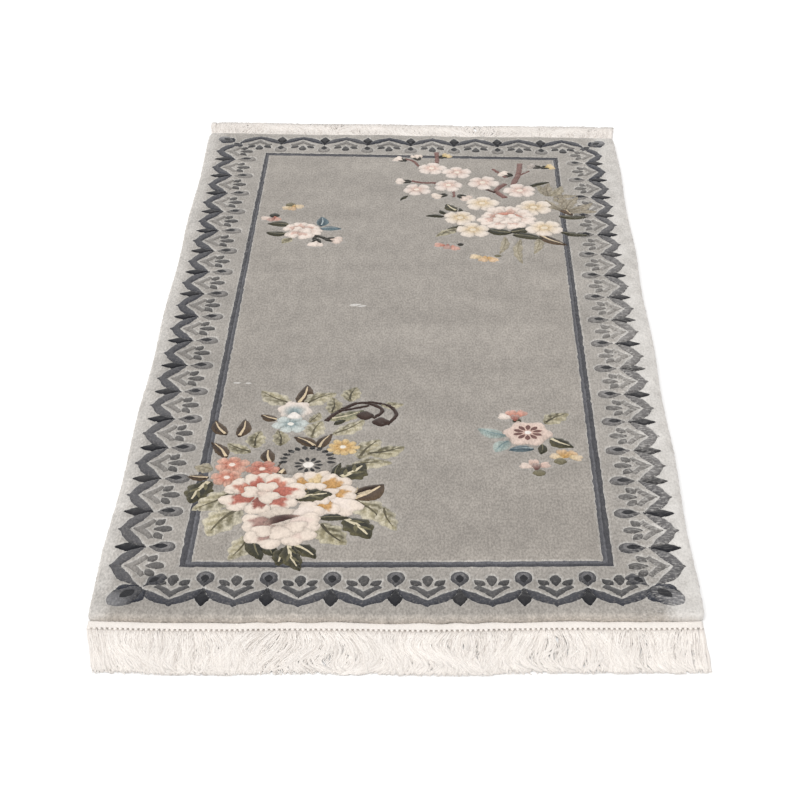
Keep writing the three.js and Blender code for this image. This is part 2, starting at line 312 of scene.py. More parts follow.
# Kinds whose edges are cut into lobes, all but the green one with streaks
LOBED_KINDS = ("olive", "pale", "fern", "tan", "green", "taupe")
# Kinds with a broad pale vein, and the widths of veins as shares of a leaf's
BLADED_KINDS = ("bark", "green")
VEIN_SHARE = {"blade": 0.22, "line": 0.13}

# Blossom kinds: dyes of the petal's rim, its body, the heart and the eye, and how many petals
BLOSSOM_KINDS = {
    "coral": ("E0B4A0", "C67D68", "DBA792", "F5E4D8", 6),
    "brick": ("D59A87", "B46757", "D09A86", "F2DFD2", 6),
    "gold": ("E6CA98", "D0A361", "DFC59A", "F7EFE2", 9),
    "blue": ("D5DAD5", "A3AFAE", "8A9B9C", "F4EFE6", 6),
    "plum": ("F2E5DB", "E2C8BB", "D9B4A6", "F3E6D6", 5),
    "ivory": ("F3E6D9", "DFCAAC", "C7AB7F", "ECDCC4", 5),
}

# Sprays: leaves as base, tip, width and kind, painted in this order
NEAR_LEAVES = [
    ((-147, -234), (-187, -201), 24, "pale"), ((-139, -234), (-129, -180), 22, "bark"),
    ((-129, -237), (-92, -207), 25, "pale"), ((-93, -259), (-93, -219), 18, "olive"),
    ((-70, -226), (-62, -190), 21, "olive"), ((-28, -236), (0, -234), 15, "pale"),
    ((-162, -277), (-186, -263), 16, "bark"), ((-121, -283), (-109, -259), 12, "olive"),
    ((-227, -317), (-245, -278), 19, "bark"), ((-211, -322), (-206, -274), 19, "bark"),
    ((-187, -349), (-183, -309), 20, "olive"), ((-155, -343), (-161, -307), 18, "olive"),
    ((-192, -360), (-221, -340), 18, "olive"), ((-222, -375), (-245, -335), 18, "bark"),
    ((-165, -387), (-169, -351), 19, "bark"), ((-109, -347), (-139, -321), 19, "bark"),
    ((-105, -351), (-89, -313), 17, "bark"), ((-152, -415), (-140, -376), 25, "bark"),
    ((-115, -323), (-105, -283), 22, "pale"), ((-89, -315), (-52, -279), 20, "pale"),
    ((-52, -375), (-28, -331), 27, "pale"), ((-42, -364), (2, -347), 24, "olive"),
    ((-62, -393), (-14, -387), 21, "pale"), ((-97, -275), (-53, -253), 18, "fern"),
    ((-89, -289), (-73, -277), 10, "dark"), ((-75, -423), (-47, -391), 30, "green"),
    ((-81, -425), (-75, -385), 12, "dark"), ((-237, -405), (-259, -397), 18, "tan"),
    ((-239, -423), (-268, -419), 14, "bark"), ((-237, -431), (-255, -479), 26, "green"),
    ((-206, -456), (-249, -495), 31, "pale"), ((-194, -495), (-225, -552), 35, "pale"),
    ((-179, -554), (-197, -604), 24, "pale"), ((-171, -556), (-160, -608), 24, "dark"),
    ((-156, -580), (-147, -600), 18, "dark"), ((-129, -580), (-138, -617), 18, "green"),
    ((-124, -576), (-98, -602), 18, "green"), ((-129, -574), (-114, -626), 20, "green"),
    ((-56, -476), (-21, -521), 31, "pale"), ((-18, -491), (-3, -539), 20, "pale"),
    ((-66, -517), (-36, -558), 28, "green"), ((-94, -528), (-64, -571), 31, "olive"),
    ((-97, -517), (-56, -517), 15, "dark"), ((-58, -473), (-19, -437), 34, "bark"),
    ((-55, -461), (-51, -445), 5, "blade"), ((-53, -461), (-32, -449), 5, "blade"),
]
RIGHT_LEAVES = [
    ((188, -285), (218, -260), 22, "olive"), ((193, -323), (220, -343), 18, "green"),
    ((182, -338), (180, -363), 13, "dark"), ((172, -350), (138, -353), 15, "slate"),
    ((138, -317), (100, -298), 22, "ice"), ((140, -330), (122, -358), 22, "ice"),
    ((153, -284), (153, -268), 12, "dark"),
]
LEFT_LEAVES = [
    ((-137, 337), (-138, 373), 20, "slate"), ((-138, 327), (-104, 326), 15, "slate"),
    ((-185, 340), (-222, 346), 19, "dark"), ((-188, 308), (-222, 313), 18, "dark"),
    ((-180, 292), (-193, 275), 13, "olive"),
]
FAR_LEAVES = [
    ((195, 491), (230, 511), 11, "dark"), ((-2, 456), (-14, 437), 7, "dark"),
    ((77, 395), (62, 421), 15, "green"), ((82, 391), (82, 408), 8, "dark"),
    ((62, 382), (49, 400), 9, "dark"), ((58, 373), (27, 376), 11, "dark"),
    ((86, 339), (60, 326), 13, "dark"), ((82, 326), (47, 301), 14, "olive"),
    ((162, 312), (122, 326), 24, "dark"), ((160, 314), (190, 330), 24, "dark"),
    ((151, 298), (142, 242), 11, "tan"), ((176, 290), (176, 209), 12, "tan"),
    ((203, 300), (195, 242), 12, "tan"), ((205, 305), (247, 267), 20, "bark"),
    ((163, 305), (211, 288), 20, "dark"), ((238, 316), (286, 303), 14, "dark"),
    ((236, 419), (260, 376), 20, "bark"),
    ((225, 454), (210, 494), 15, "tan"), ((226, 454), (229, 502), 16, "taupe"),
    ((228, 454), (248, 492), 15, "tan"), ((232, 448), (268, 454), 12, "taupe"),
    ((232, 442), (268, 430), 12, "tan"), ((246, 398), (222, 436), 14, "taupe"),
    ((248, 400), (244, 452), 15, "taupe"), ((251, 399), (272, 446), 15, "taupe"),
    ((254, 396), (292, 424), 14, "taupe"), ((255, 390), (296, 392), 13, "taupe"),
    ((238, 376), (286, 372), 15, "dark"),
]

# Branches and tendrils: listed points, width at each end and dye
NEAR_TENDRILS = [
    ([(-99, -279), (-89, -261), (-59, -230), (-33, -239), (-26, -253), (-37, -271)], 7, 5, "bark"),
    ([(-59, -231), (-39, -229), (-16, -240), (-7, -262), (-19, -288)], 5, 6, "bark"),
    ([(-84, -252), (-63, -245), (-43, -237)], 5, 4, "bark"),
]
LEFT_STEMS = [
    ([(-150, 312), (-145, 300), (-145, 284)], 9, 6, "calyx"),
    ([(-146, 302), (-134, 296), (-125, 288)], 7, 7, "calyx"),
]
FAR_BRANCHES = [
    ([(-10, 611), (6, 600), (15, 578)], 5, 5, "twig"), ([(44, 638), (45, 615), (44, 585)], 8, 7, "twig"),
    ([(2, 517), (21, 509), (45, 509)], 6, 5, "twig"), ([(71, 483), (73, 463), (72, 450)], 5, 4, "twig"),
    ([(184, 590), (180, 546), (172, 512), (171, 496)], 9, 10, "twig"),
    ([(138, 567), (147, 552), (160, 530)], 5, 6, "twig"), ([(182, 541), (199, 559)], 4, 3, "twig"),
    ([(158, 506), (144, 485), (143, 472), (156, 448)], 9, 9, "twig"),
    ([(120, 486), (140, 470)], 5, 5, "twig_dark"),
]

# Blossoms: centre, radius, kind and turn in degrees
NEAR_BLOSSOMS = [
    ((-145, -289), 22, "blue", 10), ((-213, -393), 21, "coral", 20), ((-174, -403), 20, "brick", 0),
    ((-217, -424), 20, "coral", 45), ((-74, -348), 20, "gold", 0),
]
FAR_BLOSSOMS = [
    ((36, 567), 23, "plum", 80), ((78, 550), 23, "plum", 20), ((120, 508), 25, "plum", 60),
    ((64, 497), 23, "plum", 5), ((12, 479), 22, "plum", 45), ((180, 475), 26, "plum", 30),
    ((118, 424), 26, "ivory", 10), ((200, 408), 28, "ivory", 40), ((82, 368), 26, "ivory", 0),
    ((102, 322), 26, "ivory", 25), ((214, 329), 28, "ivory", 50),
]

# Buds: centre, radius, turn in degrees of the tip, and dye; each has a calyx at its foot
BUDS = [
    ((-18, 608), 11, 150, "cream"), ((11, 618), 11, 100, "ivory"), ((59, 622), 11, 40, "yellow"),
    ((-12, 515), 12, 180, "cream"), ((48, 456), 12, 200, "ivory"), ((90, 449), 12, 320, "blush"),
    ((158, 545), 12, 150, "cream"), ((206, 577), 11, 160, "smoke"), ((231, 575), 11, 20, "yellow"),
    ((-142, 274), 13, 265, "cream"), ((-113, 286), 13, 350, "blush"),
]
# Loose petals: centre, radius, turn in degrees and dye
LOOSE_PETALS = [
    ((-209, 366), 8, 300, "coral"), ((-217, 364), 8, 230, "rust"), ((-226, 368), 8, 190, "blush"),
    ((-177, 414), 9, 330, "straw"), ((-186, 407), 9, 260, "gold"), ((-195, 408), 8, 200, "straw"),
    ((137, -266), 10, 170, "cream"), ((146, -259), 10, 110, "coral"), ((157, -259), 10, 50, "coral"),
    ((150, -269), 8, 90, "rust"), ((170, -385), 9, 95, "plum"), ((182, -390), 9, 20, "plum"),
    ((161, -392), 9, 165, "blush"), ((173, -394), 8, 90, "wine"), ((200, -368), 9, 160, "straw"),
    ((208, -361), 10, 100, "gold"), ((217, -363), 10, 40, "gold"), ((224, -371), 9, 340, "straw"),
    ((50, 268), 9, 170, "coral"), ((62, 262), 9, 270, "rust"), ((73, 258), 9, 300, "coral"),
    ((106, 226), 10, 170, "straw"), ((117, 218), 10, 250, "gold"), ((130, 217), 10, 310, "gold"),
]

# Calyx knobs and tendril ends: centre, radius and dye
CALYXES = [
    ((176, -408), 8, "olive"), ((204, -380), 8, "olive"),
    ((-213, 378), 8, "calyx"), ((-190, 420), 8, "olive"),
    ((82, 270), 5, "calyx"), ((139, 229), 5, "olive"), ((-48, -264), 11, "bark"), ((-27, -281), 11, "bark"),
]

# Peonies: middle and radius of the head, rim dye, petals, blotches as a share of a petal, and inner ruffles
# A petal has its middle, length, width and blotch dye, and a ruffle its middle and radius
PEONIES = {
    "ochre": {
        "centre": (-100, -462), "radius": 30, "rim": "ivory", "reach": 0.74,
        "petals": [
            ((-124, -434), 38, 34, "ochre"), ((-102, -427), 38, 36, "straw"), ((-82, -437), 38, 38, "ochre"),
            ((-73, -460), 38, 40, "ochre"), ((-69, -486), 40, 38, "cream"), ((-90, -492), 38, 36, "ochre"),
        ],
        "ruffles": [((-105, -448), 13), ((-89, -460), 13), ((-98, -475), 12)],
    },
    "red": {
        "centre": (-168, -461), "radius": 34, "rim": "ivory", "reach": 0.7,
        "petals": [
            ((-197, -447), 38, 40, "coral"), ((-176, -435), 40, 38, "brick"), ((-152, -437), 38, 38, "coral"),
            ((-137, -455), 38, 40, "brick"), ((-198, -478), 40, 42, "brick"), ((-144, -484), 38, 40, "brick"),
            ((-172, -489), 38, 38, "rust"),
        ],
        "ruffles": [((-181, -458), 13), ((-164, -448), 13), ((-163, -468), 14)],
    },
    "pink": {
        "centre": (-141, -527), "radius": 34, "rim": "ivory", "reach": 0.72,
        "petals": [
            ((-173, -528), 40, 44, "mauve"), ((-113, -502), 36, 40, "cream"), ((-111, -526), 38, 42, "shell"),
            ((-156, -556), 42, 46, "mauve"), ((-124, -553), 40, 44, "blush"),
        ],
        "ruffles": [((-161, -545), 13), ((-141, -549), 15), ((-124, -536), 13)],
    },
    "far": {
        "centre": (156, 367), "radius": 31, "rim": "cream", "reach": 0.6,
        "petals": [
            ((131, 377), 30, 31, "plum"), ((143, 393), 30, 31, "blush"), ((164, 396), 30, 31, "plum"),
            ((182, 382), 30, 31, "blush"), ((185, 360), 30, 31, "blush"), ((168, 344), 30, 31, "plum"),
            ((142, 344), 30, 31, "plum"), ((127, 358), 30, 31, "plum"),
        ],
        "ruffles": [((148, 370), 11), ((164, 370), 11), ((156, 359), 12), ((143, 360), 9), ((169, 360), 9)],
    },
    "left": {
        "centre": (-167, 320), "radius": 20, "rim": "cream", "reach": 0.62,
        "petals": [
            ((-183, 329), 24, 25, "plum"), ((-169, 338), 24, 25, "plum"), ((-153, 330), 24, 25, "plum"),
            ((-149, 315), 24, 25, "blush"), ((-161, 303), 24, 25, "plum"), ((-179, 307), 24, 25, "plum"),
        ],
        "ruffles": [((-171, 324), 9), ((-161, 319), 10)],
    },
}
# Dark folds inside two of the peonies: ends, width, bend and dye
PEONY_FOLDS = {
    "pink": ((-163, -533), (-119, -512), 15, 5, "maroon"),
    "far": ((128, 366), (184, 366), 12, 19, "coral"),
}

# Worn pale marks in the field: ends and width
WEAR = [
    ((-231, -177), (-219, -177), 4), ((-214, -178), (-205, -178), 4),
    ((-82, 58), (-64, 62), 7), ((-70, 54), (-56, 58), 5),
]

# Rings of teardrops round a white eye: centre, eye radius, drops, inner and outer reach, dye and turn
DROP_RINGS = [
    ((-116, -393), 7, 11, 8, 19, "black", 0), ((165, -310), 4.5, 10, 6, 20, "wine", 15),
]
DROP_WIDTH = 0.5
DROP_EYE = {"lobes": 6, "depth": 0.08}
# Arc of dark dots, its angles in degrees, and half the length and the width of a dot
DOT_ARC = {"centre": (-118, -381), "reach": 31, "dots": 12, "from": -10, "to": 190, "half": 6, "width": 7.5}
DOTTED_SHADE = 0.93
# Single round heads: centre, radius, lobes, their depth and turn
DOTTED_HEAD = ((-117, -386), 35, 11, 0.05, 0)
PINK_HEAD = ((165, -310), 30, 6, 0.1, 0.5)
SKY_HEAD = ((-142, -250), 22, 6, 0.1, 1)
SKY_EYE = ((-142, -266), 9, 3, 0.12, 1.6)
# Where the pink and sky heads start to fade, how far and how fast
PINK_FADE = ((165, -310), 32, 1.0)
SKY_FADE = ((-142, -256), 22, 1.5)
CALYX_LOBES = {"lobes": 4, "depth": 0.08}
# The leaf that lies between the ochre and the red peony
PEONY_LEAF = ((-128, -474), (-86, -462), 24, "green")

# Fringe, with the sizes of its solid
PIECE_GAP = 0.3
STRIP_WIDTH = 12
STRIP_THICKNESS = 2.6
STRIP_PAST_CORNER = 5
LOCKS = 118
SWAY_POWER = 1.4
END_LEAN_POWER = 6
# How the fringes lie: length and how it varies, sway of the tips and its waves, lean of the locks at the
# sides, share of the brown painted as shade at the roots, here in all the yarns to darken the whole fringe,
# and how far they stray past the sides
FRINGES = {
    "fringe_near": {
        "end": -1, "length": 85, "uneven": 5, "sway": 5, "waves": 3.4,
        "end_lean": (20, -6), "grey": 0, "past": 3,
    },
    "fringe_far": {
        "end": 1, "length": 62, "uneven": 4, "sway": 3, "waves": 4.6,
        "end_lean": (-6, 8), "grey": 0.08, "past": 8,
    },
}
# Yarns of one lock: how many, points along each, radius at root and tip, spread, waviness and straying,
# sides and flatness of each yarn, and height of the heap
YARNS = 18
YARN_POINTS = 10
YARN_RADIUS = (0.85, 0.55)
YARN_SPREAD = 4.2
YARN_WAVE = 2.6
YARN_STRAY = 6
YARN_SIDES = 3
YARN_FLAT = 0.8
YARN_HEAP = 1.3
# Points crowd towards the root by this power, fewest and most waves along a yarn, and how much of its
# straying shows in its middle and in its last curl
YARN_CROWD = 1.25
YARN_WAVES = (1.0, 2.6)
STRAY_SHARE = {"middle": 0.4, "curl": 0.5}
# Locks differ in length by this share of how single yarns do
LOCK_UNEVEN = 0.4
# Yarns start closer together and reach their spread over the first part of their length
SPREAD_START = 0.7
SPREAD_END = 4
# The outer locks are calmer, and stay short of the sides by up to this much
CALM_SHARE = 0.2
CALM_SPREAD = 0.5
SIDE_ROOM = 4
# Height at the knot and how far it varies, how soon yarns come down, and how low the upper tips sink
YARN_START = 1.2
YARN_DROP = 3
TIP_SINK = 0.84
# A few yarns stray this many times as far
WILD_SHARE = 0.14
WILD_STRAY = 3.2
# Flat yarns beneath them: how many in a lock, radius, and height as a share of their width
UNDER_YARNS = 4
UNDER_RADIUS = 2.4
UNDER_FLAT = 0.3
UNDER_SIDES = 4
UNDER_HEAP = 0.6
UNDER_LENGTH = 0.96
# Locks drift together: how far their tips, middles and last curls do, and over how many locks
DRIFT_TIP = 14
DRIFT_MIDDLE = 8
DRIFT_CURL = 7
DRIFT_LOCKS = 6
# Knots: half the width, length and height, and their mesh
KNOT_SIZE = (2.2, 3, 1.9)
KNOT_RINGS = 5
KNOT_SIDES = 8
# Where a knot's rings start and end, how far it reaches back, its fullness and how its size varies
KNOT_ENDS = (0.04, 0.96)
KNOT_BACK = 0.3
KNOT_FULLNESS = 0.6
KNOT_UNEVEN = (0.85, 1.1)
# Share of the brown in the strip and the knots, which darkens them a little, and painted shade in the
# flat yarns, warming the gaps between the loose yarns, and at the root of each yarn, where it shows
# between the knots
ROOT_SHADE_SHARE = {"strip": 0.13, "knot": 0.14, "under": 0.16, "yarn": 0.85}
ROOT_FADE = 0.09
# This count of the yarns, as a share, has this share of the brown: tan yarns, partly their own tone and
# partly painted warm shade among the locks
DARK_YARNS = {"count": 0.26, "share": 0.22}
# Loose yarns shade each other, so their own colour is lighter than it looks
YARN_GAIN = 1.2
# Weave of the strip
WEAVE_COLUMNS = 2 * LOCKS
WEAVE_ROWS = 9
WEAVE_RELIEF = 0.5

# Silk: noises that shade the dyes, with their cells a metre along each axis, detail and strength
SILK_NOISES = {
    "knots": ((420, 190, 480), 1, 0.2), "rows": ((9, 170, 1), 2, 0.02), "cloud": ((9, 12, 1), 3, 0.08),
    "bands": ((0.7, 11, 1), 2, 0.06), "fibre": ((900, 900, 60), 2, 0.13), "mottle": ((75, 30, 1), 3, 0.08),
}
NOISE_RANGE = (0.25, 0.75)
# Numbers of a mix node's colour sockets
MIX_SOCKETS = {"share": 0, "first": 6, "second": 7, "result": 2}
# Where the border starts, in metres from the middle, and the brightness over which a dye stops being dark
BORDER_SPAN = {"across": (0.252, 0.262), "along": (0.618, 0.628)}
DARK_DYES = (0.015, 0.045)
# Brightness over which a dye counts as pale, and how much less of the noises shows in it
PALE_DYES = {"from": (0.35, 0.6), "share": 0.65}
# Flecks of the ground in the border's dyes, and painted sheen as pale hairs of the nap on its right side,
# fewer at the far end and in dark dyes: noise and the range of it that shows, share, and reach in metres
FLECKS = {"noise": ((330, 330, 1), 3), "from": (0.5, 0.68), "share": 0.22}
SHEEN_HAIRS = {
    "noise": ((130, 420, 1), 3), "from": (0.47, 0.66), "share": 0.38,
    "across": (0.25, 0.31), "along": (-0.05, 0.4), "far": 0.25, "dark": 0.15,
}
FIBRE_HEIGHT = 0.6
SILK_BUMP = {"Strength": 0.3, "Distance": 0.0012}
SILK_FINISH = {
    "Roughness": 0.62, "Specular IOR Level": 0.2,
    "Sheen Weight": 0.3, "Sheen Roughness": 0.4, "Sheen Tint": (0.95, 0.93, 0.9, 1),
}

# Yarn: noise between its two creams, noises that shade it, and its surface
YARN_STREAKS = ((160, 14, 1), 2)
YARN_NOISES = {"twist": ((1100, 420, 900), 1, 0.05), "cloud": ((25, 25, 1), 2, 0.03)}
YARN_BUMP = {"Strength": 0.4, "Distance": 0.0005}
YARN_FINISH = {"Roughness": 0.85, "Specular IOR Level": 0.15, "Sheen Weight": 0.2}

# Camera, floor and light
CAMERA_PLACE = (0.0495, -2.6529, 1.3743)
CAMERA_PITCH = 29.268
CAMERA_YAW = 1.233
CAMERA_ROLL = -0.4596
CAMERA_LENS = 93.65
CAMERA_SENSOR = 36
FLOOR_SIZE = 30
FLOOR_DROP = 0.0004
FLOOR_FINISH = {"Base Color": (0.93, 0.93, 0.93, 1), "Roughness": 1, "Specular IOR Level": 0}
SKY_STRENGTH = 0.8
SUN_STRENGTH = 1.75
SUN_SPREAD = 70
SUN_FROM = (-0.35, -0.55, 1.0)
# How much brighter the studio makes a surface than its own colour
STUDIO_GAIN = 1.3


def linear(text):
    """A dye's own linear red, green and blue, by the sRGB curve, from the hex text of how it looks."""
    values = np.array([int(text[i:i + 2], 16) for i in (0, 2, 4)]) / 255
    return np.where(values <= 0.04045, values / 12.92, ((values + 0.055) / 1.055) ** 2.4) / STUDIO_GAIN


def dye(name):
    return linear(DYES[name])


def ease(share):
    share = np.clip(share, 0, 1)
    return share * share * (3 - 2 * share)


def unit(angle):
    return np.array([math.cos(angle), math.sin(angle)])


# Plan of the rug

def slant(y, end, start, size, power):
    """How far out of square the rows are at a place along the rug."""
    share = np.clip((y - start) / (end * HALF_LENGTH - start), 0, 1)
    return size * share ** power


def lay(points):
    """Puts points of the square design where they lie on the slanted rug."""
    x, y = np.asarray(points, float).T
    rise = slant(y, **FAR_SLANT) + slant(y, **NEAR_SLANT)
    sag = slant(y, **NEAR_SAG) * (1 - np.minimum(np.abs(x) / HALF_WIDTH, 1) ** 2)
    return np.column_stack([x, y + rise * x / PILE_WIDTH - sag])


def end_edge(end, inset, count, ruffle=RUFFLE):
    """Plan of one end of the pile, from -X to +X."""
    along = np.linspace(0, 1, count)
    reach = HALF_WIDTH - PILE_CORNER
    wander = EDGE_WANDER * np.sin(2 * math.pi * WANDER_WAVES["across"] * along + end)
    uneven = RUFFLE_UNEVEN["size"] * np.sin(2 * math.pi * RUFFLE_UNEVEN["waves"] * along)
    wander += ruffle * np.sin(2 * math.pi * RUFFLE_WAVES * along + uneven + end) * np.sin(math.pi * along)
    return lay(np.column_stack([reach * (2 * along - 1), end * (HALF_LENGTH - inset + wander)]))


def side_edge(side, inset, count):
    """Plan of one long side of the pile, from -Y to +Y."""
    along = np.linspace(0, 1, count)
    reach = HALF_LENGTH - PILE_CORNER
    wander = EDGE_WANDER * np.sin(2 * math.pi * WANDER_WAVES["along"] * along + side)
    return lay(np.column_stack([side * (HALF_WIDTH - inset + wander), reach * (2 * along - 1)]))


def pile_outline(inset, step=RIM_STEP):
    """The whole plan of the pile, counter-clockwise."""
    across = round(PILE_WIDTH / step)
    along = round(PILE_LENGTH / step)
    near = end_edge(-1, inset, across)
    right = side_edge(1, inset, along)
    far = end_edge(1, inset, across)[::-1]
    left = side_edge(-1, inset, along)[::-1]
    bulge = (PILE_CORNER - inset) * (math.sqrt(0.5) - 0.5)
    edges = [near, right, far, left]
    outward = [(1, -1), (1, 1), (-1, 1), (-1, -1)]
    parts = []
    for edge, after, way in zip(edges, edges[1:] + edges[:1], outward):
        parts += [edge, 0.5 * (edge[-1:] + after[:1]) + bulge * np.array(way)]
    return np.concatenate(parts)


# Outlines

def bow(share, bend):
    """How far a bent line is off its straight run."""
    return 4 * share * (1 - share) * bend


def bow_path(rows, step):
    """Points along stretches that each bow to the left by the bulge of the row they start from."""
    corners = np.array([row[:2] for row in rows], float)
    parts = []
    for a, b, row in zip(corners, corners[1:], rows):
        run = b - a
        length = np.linalg.norm(run)
        share = np.linspace(0, 1, max(2, math.ceil(length / step) + 1))[:-1, None]
        side = np.array([-run[1], run[0]]) / length
        parts.append(a + share * run + bow(share, row[2]) * side)
    parts.append(corners[-1:])
    return np.concatenate(parts)


def mirrored(rows, step):
    """A whole outline from half of one that starts and ends on its middle line."""
    half = bow_path(rows, step)
    other = half[-2:0:-1] * [-1, 1]
    return np.concatenate([half, other])


def smooth(points, step, closed=True):
    """A smooth curve through points, cut into steps."""
    points = np.asarray(points, float)
    count = len(points)
    ends = np.arange(count if closed else count - 1)
    if closed:
        before, after = points[ends - 1], points[(ends + 2) % count]
    else:
        padded = np.concatenate([2 * points[:1] - points[1:2], points, 2 * points[-1:] - points[-2:-1]])
        before, after = padded[ends], padded[ends + 3]
    parts = []
    for p0, p1, p2, p3 in zip(before, points[ends], points[(ends + 1) % count], after):
        steps = max(1, math.ceil(np.linalg.norm(p2 - p1) / step))
        t = np.linspace(0, 1, steps, endpoint=False)[:, None]
        parts.append(0.5 * (2 * p1 + (p2 - p0) * t + (2 * p0 - 5 * p1 + 4 * p2 - p3) * t ** 2
                            + (3 * p1 - p0 - 3 * p2 + p3) * t ** 3))
    if not closed:
        parts.append(points[-1:])
    return np.concatenate(parts)


def spaced(corners, step):
    """A closed outline of straight sides, cut into steps."""
    rows = [(x, y, 0) for x, y in [*corners, corners[0]]]
    return bow_path(rows, step)[:-1]


def leaf_axes(base, tip):
    """The run of a leaf and the unit vector to its left."""
    run = np.array(tip, float) - np.array(base, float)
    return run, np.array([-run[1], run[0]]) / np.linalg.norm(run)


def leaf_half(width, share):
    """Half of a leaf's width along it, fullest a little before its middle."""
    return width / 2 * np.sin(math.pi * share ** LEAF_SWELL) ** LEAF_SWELL


def lens(base, tip, width, step=FLOWER_STEP, bend=0.0, lobes=0.0):
    """A leaf's outline, bent to one side and cut into lobes."""
    run, side = leaf_axes(base, tip)
    count = max(LEAF_POINTS, math.ceil(LEAF_CROWD * np.linalg.norm(run) / step))
    share = np.linspace(0, 1, count)[:, None]
    half = leaf_half(width, share) * (1 + lobes * np.sin(2 * math.pi * LEAF_LOBES * share))
    middle = np.array(base, float) + share * run + bow(share, bend) * side
    return np.concatenate([middle + half * side, (middle - half * side)[-2:0:-1]])


def petal(base, angle, length, width, wave=0.0, notch=PETAL_NOTCH, step=FLOWER_STEP):
    """A petal that widens from its foot to a notch, or to a point if that is negative, with a wavy edge."""
    half = np.array(PETAL_HALF)
    loop = np.concatenate([half, [(1 - notch, 0)], half[::-1] * [1, -1]]) * [length, width]
    turn = np.array([unit(angle), unit(angle + math.pi / 2)])
    outline = smooth(np.asarray(base) + loop @ turn, step)
    offset = outline - outline.mean(axis=0)
    turns = np.arctan2(offset[:, 1], offset[:, 0])
    return outline + wave * np.sin(PETAL_WAVES * turns + PETAL_TURNS * angle)[:, None] * offset


def ruffled(centre, radius, lobes, depth, turn, step=FLOWER_STEP):
    """A round outline with soft lobes."""
    count = max(ROUND_POINTS, math.ceil(2 * math.pi * radius / step))
    angles = np.linspace(0, 2 * math.pi, count, endpoint=False)
    reach = radius * (1 + depth * np.cos(lobes * angles + turn))
    return np.asarray(centre) + reach[:, None] * np.column_stack([np.cos(angles), np.sin(angles)])


def ribbon(points, first_width, last_width, step=FLOWER_STEP):
    """The outline of a stroke along a smooth curve, tapering from one width to another."""
    path = smooth(points, step, closed=False)
    run = np.gradient(path, axis=0)
    side = np.column_stack([-run[:, 1], run[:, 0]]) / np.linalg.norm(run, axis=1)[:, None]
    half = np.linspace(first_width, last_width, len(path))[:, None] / 2
    return np.concatenate([path + half * side, (path - half * side)[::-1]])


# Paint: functions from plan points to colours

def even(colour):
    return lambda points: np.tile(colour, (len(points), 1))


def around(centre, radius, inner, outer, power=1.0):
    """Blends from the middle outwards."""
    def paint(points):
        share = ease(np.linalg.norm(points - np.asarray(centre), axis=1) / radius)[:, None] ** power
        return inner + (outer - inner) * share
    return paint


def halves(base, tip, width, bend, left, right, rim, streaks):
    """A leaf's two halves, darker at its foot and along its middle, with a lit rim and slanting streaks."""
    run, side = leaf_axes(base, tip)
    length = np.linalg.norm(run)

    def paint(points):
        offset = points - np.array(base, float)
        share = np.clip(offset @ run / length ** 2, 0, 1)
        sideways = offset @ side - bow(share, bend)
        half = leaf_half(width, np.clip(share, *LEAF_ENDS))
        blend = ease(0.5 - LEAF_BLEND * sideways / width)[:, None]
        edge = ease((np.abs(sideways) / half - LEAF_RIM_START) / LEAF_RIM_WIDTH)[:, None]
        foot = LEAF_FOOT + (1 - LEAF_FOOT) * ease(share * LEAF_FOOT_END)
        colour = (left + (right - left) * blend) * foot[:, None]
        turns = LEAF_STREAKS * share - STREAK_SLANT * np.abs(sideways) / width
        streak = ease(np.sin(2 * math.pi * turns))[:, None]
        return colour + np.maximum(LEAF_RIM * edge, streaks * streak) * (rim - colour)
    return paint


# Patches of the design, painted in order over the ground

@dataclass
class Patch:
    outline: np.ndarray
    paint: Callable
    kind: str
    lift: float
    ground: bool


patches = []


def add(outline, paint, kind, lift="flower", ground=False):
    ragged = RAGGED[kind] * random.standard_normal(np.shape(outline))
    patches.append(Patch(np.asarray(outline) + ragged, paint, kind, LIFT[lift], ground))


def border_side(place, repeats, pitch, sheen_paling):
    """One side of the border: chevrons with lozenges, buds and small flowers between them."""
    # Dyes painted paler towards the ground's, as painted sheen of the nap
    def sheen_paled(name, shares, way):
        share = np.interp(way, np.linspace(0, 1, len(shares)), shares)
        share += SHEEN_PALING_UNEVEN * random.uniform(-1, 1)
        return even(dye(name) + max(share, 0) * (dye("ground") - dye(name)))

    def stamp(rows, middle, paint, kind="border"):
        add(place(mirrored(rows, BORDER_STEP) + [middle, 0]), paint, kind, "border")

    for i in range(repeats):
        middle = (i - (repeats - 1) / 2) * pitch
        way = i / (repeats - 1)
        stamp(CHEVRON, middle, sheen_paled("chevron", sheen_paling["chevron"], way))
        stamp(VEE_LEAF, middle, sheen_paled("vee_leaf", sheen_paling["vee_leaf"], way))
        for side in (-1, 1):
            base, tip = (np.array(TREFOIL_SIDE[key]) * [side, 1] + [middle, 0] for key in ("base", "tip"))
            outline = place(lens(base, tip, TREFOIL_SIDE["width"], BORDER_STEP))
            add(outline, sheen_paled("trefoil", sheen_paling["trefoil"], way), "border", "border")
        stamp(TREFOIL_MIDDLE, middle, sheen_paled("trefoil", sheen_paling["trefoil"], way))
        if i + 1 < repeats:
            between = middle + pitch / 2
            stamp(LOZENGE, between, sheen_paled("lozenge", sheen_paling["lozenge"], way))
            stamp(BUD, between, sheen_paled("bud", sheen_paling["bud"], way))
            stamp(BUD_RING, between, sheen_paled("bud_ring", sheen_paling["bud"], way), "soft")
            stamp(BUD_CORE, between, even(dye("bud_core")), "soft")


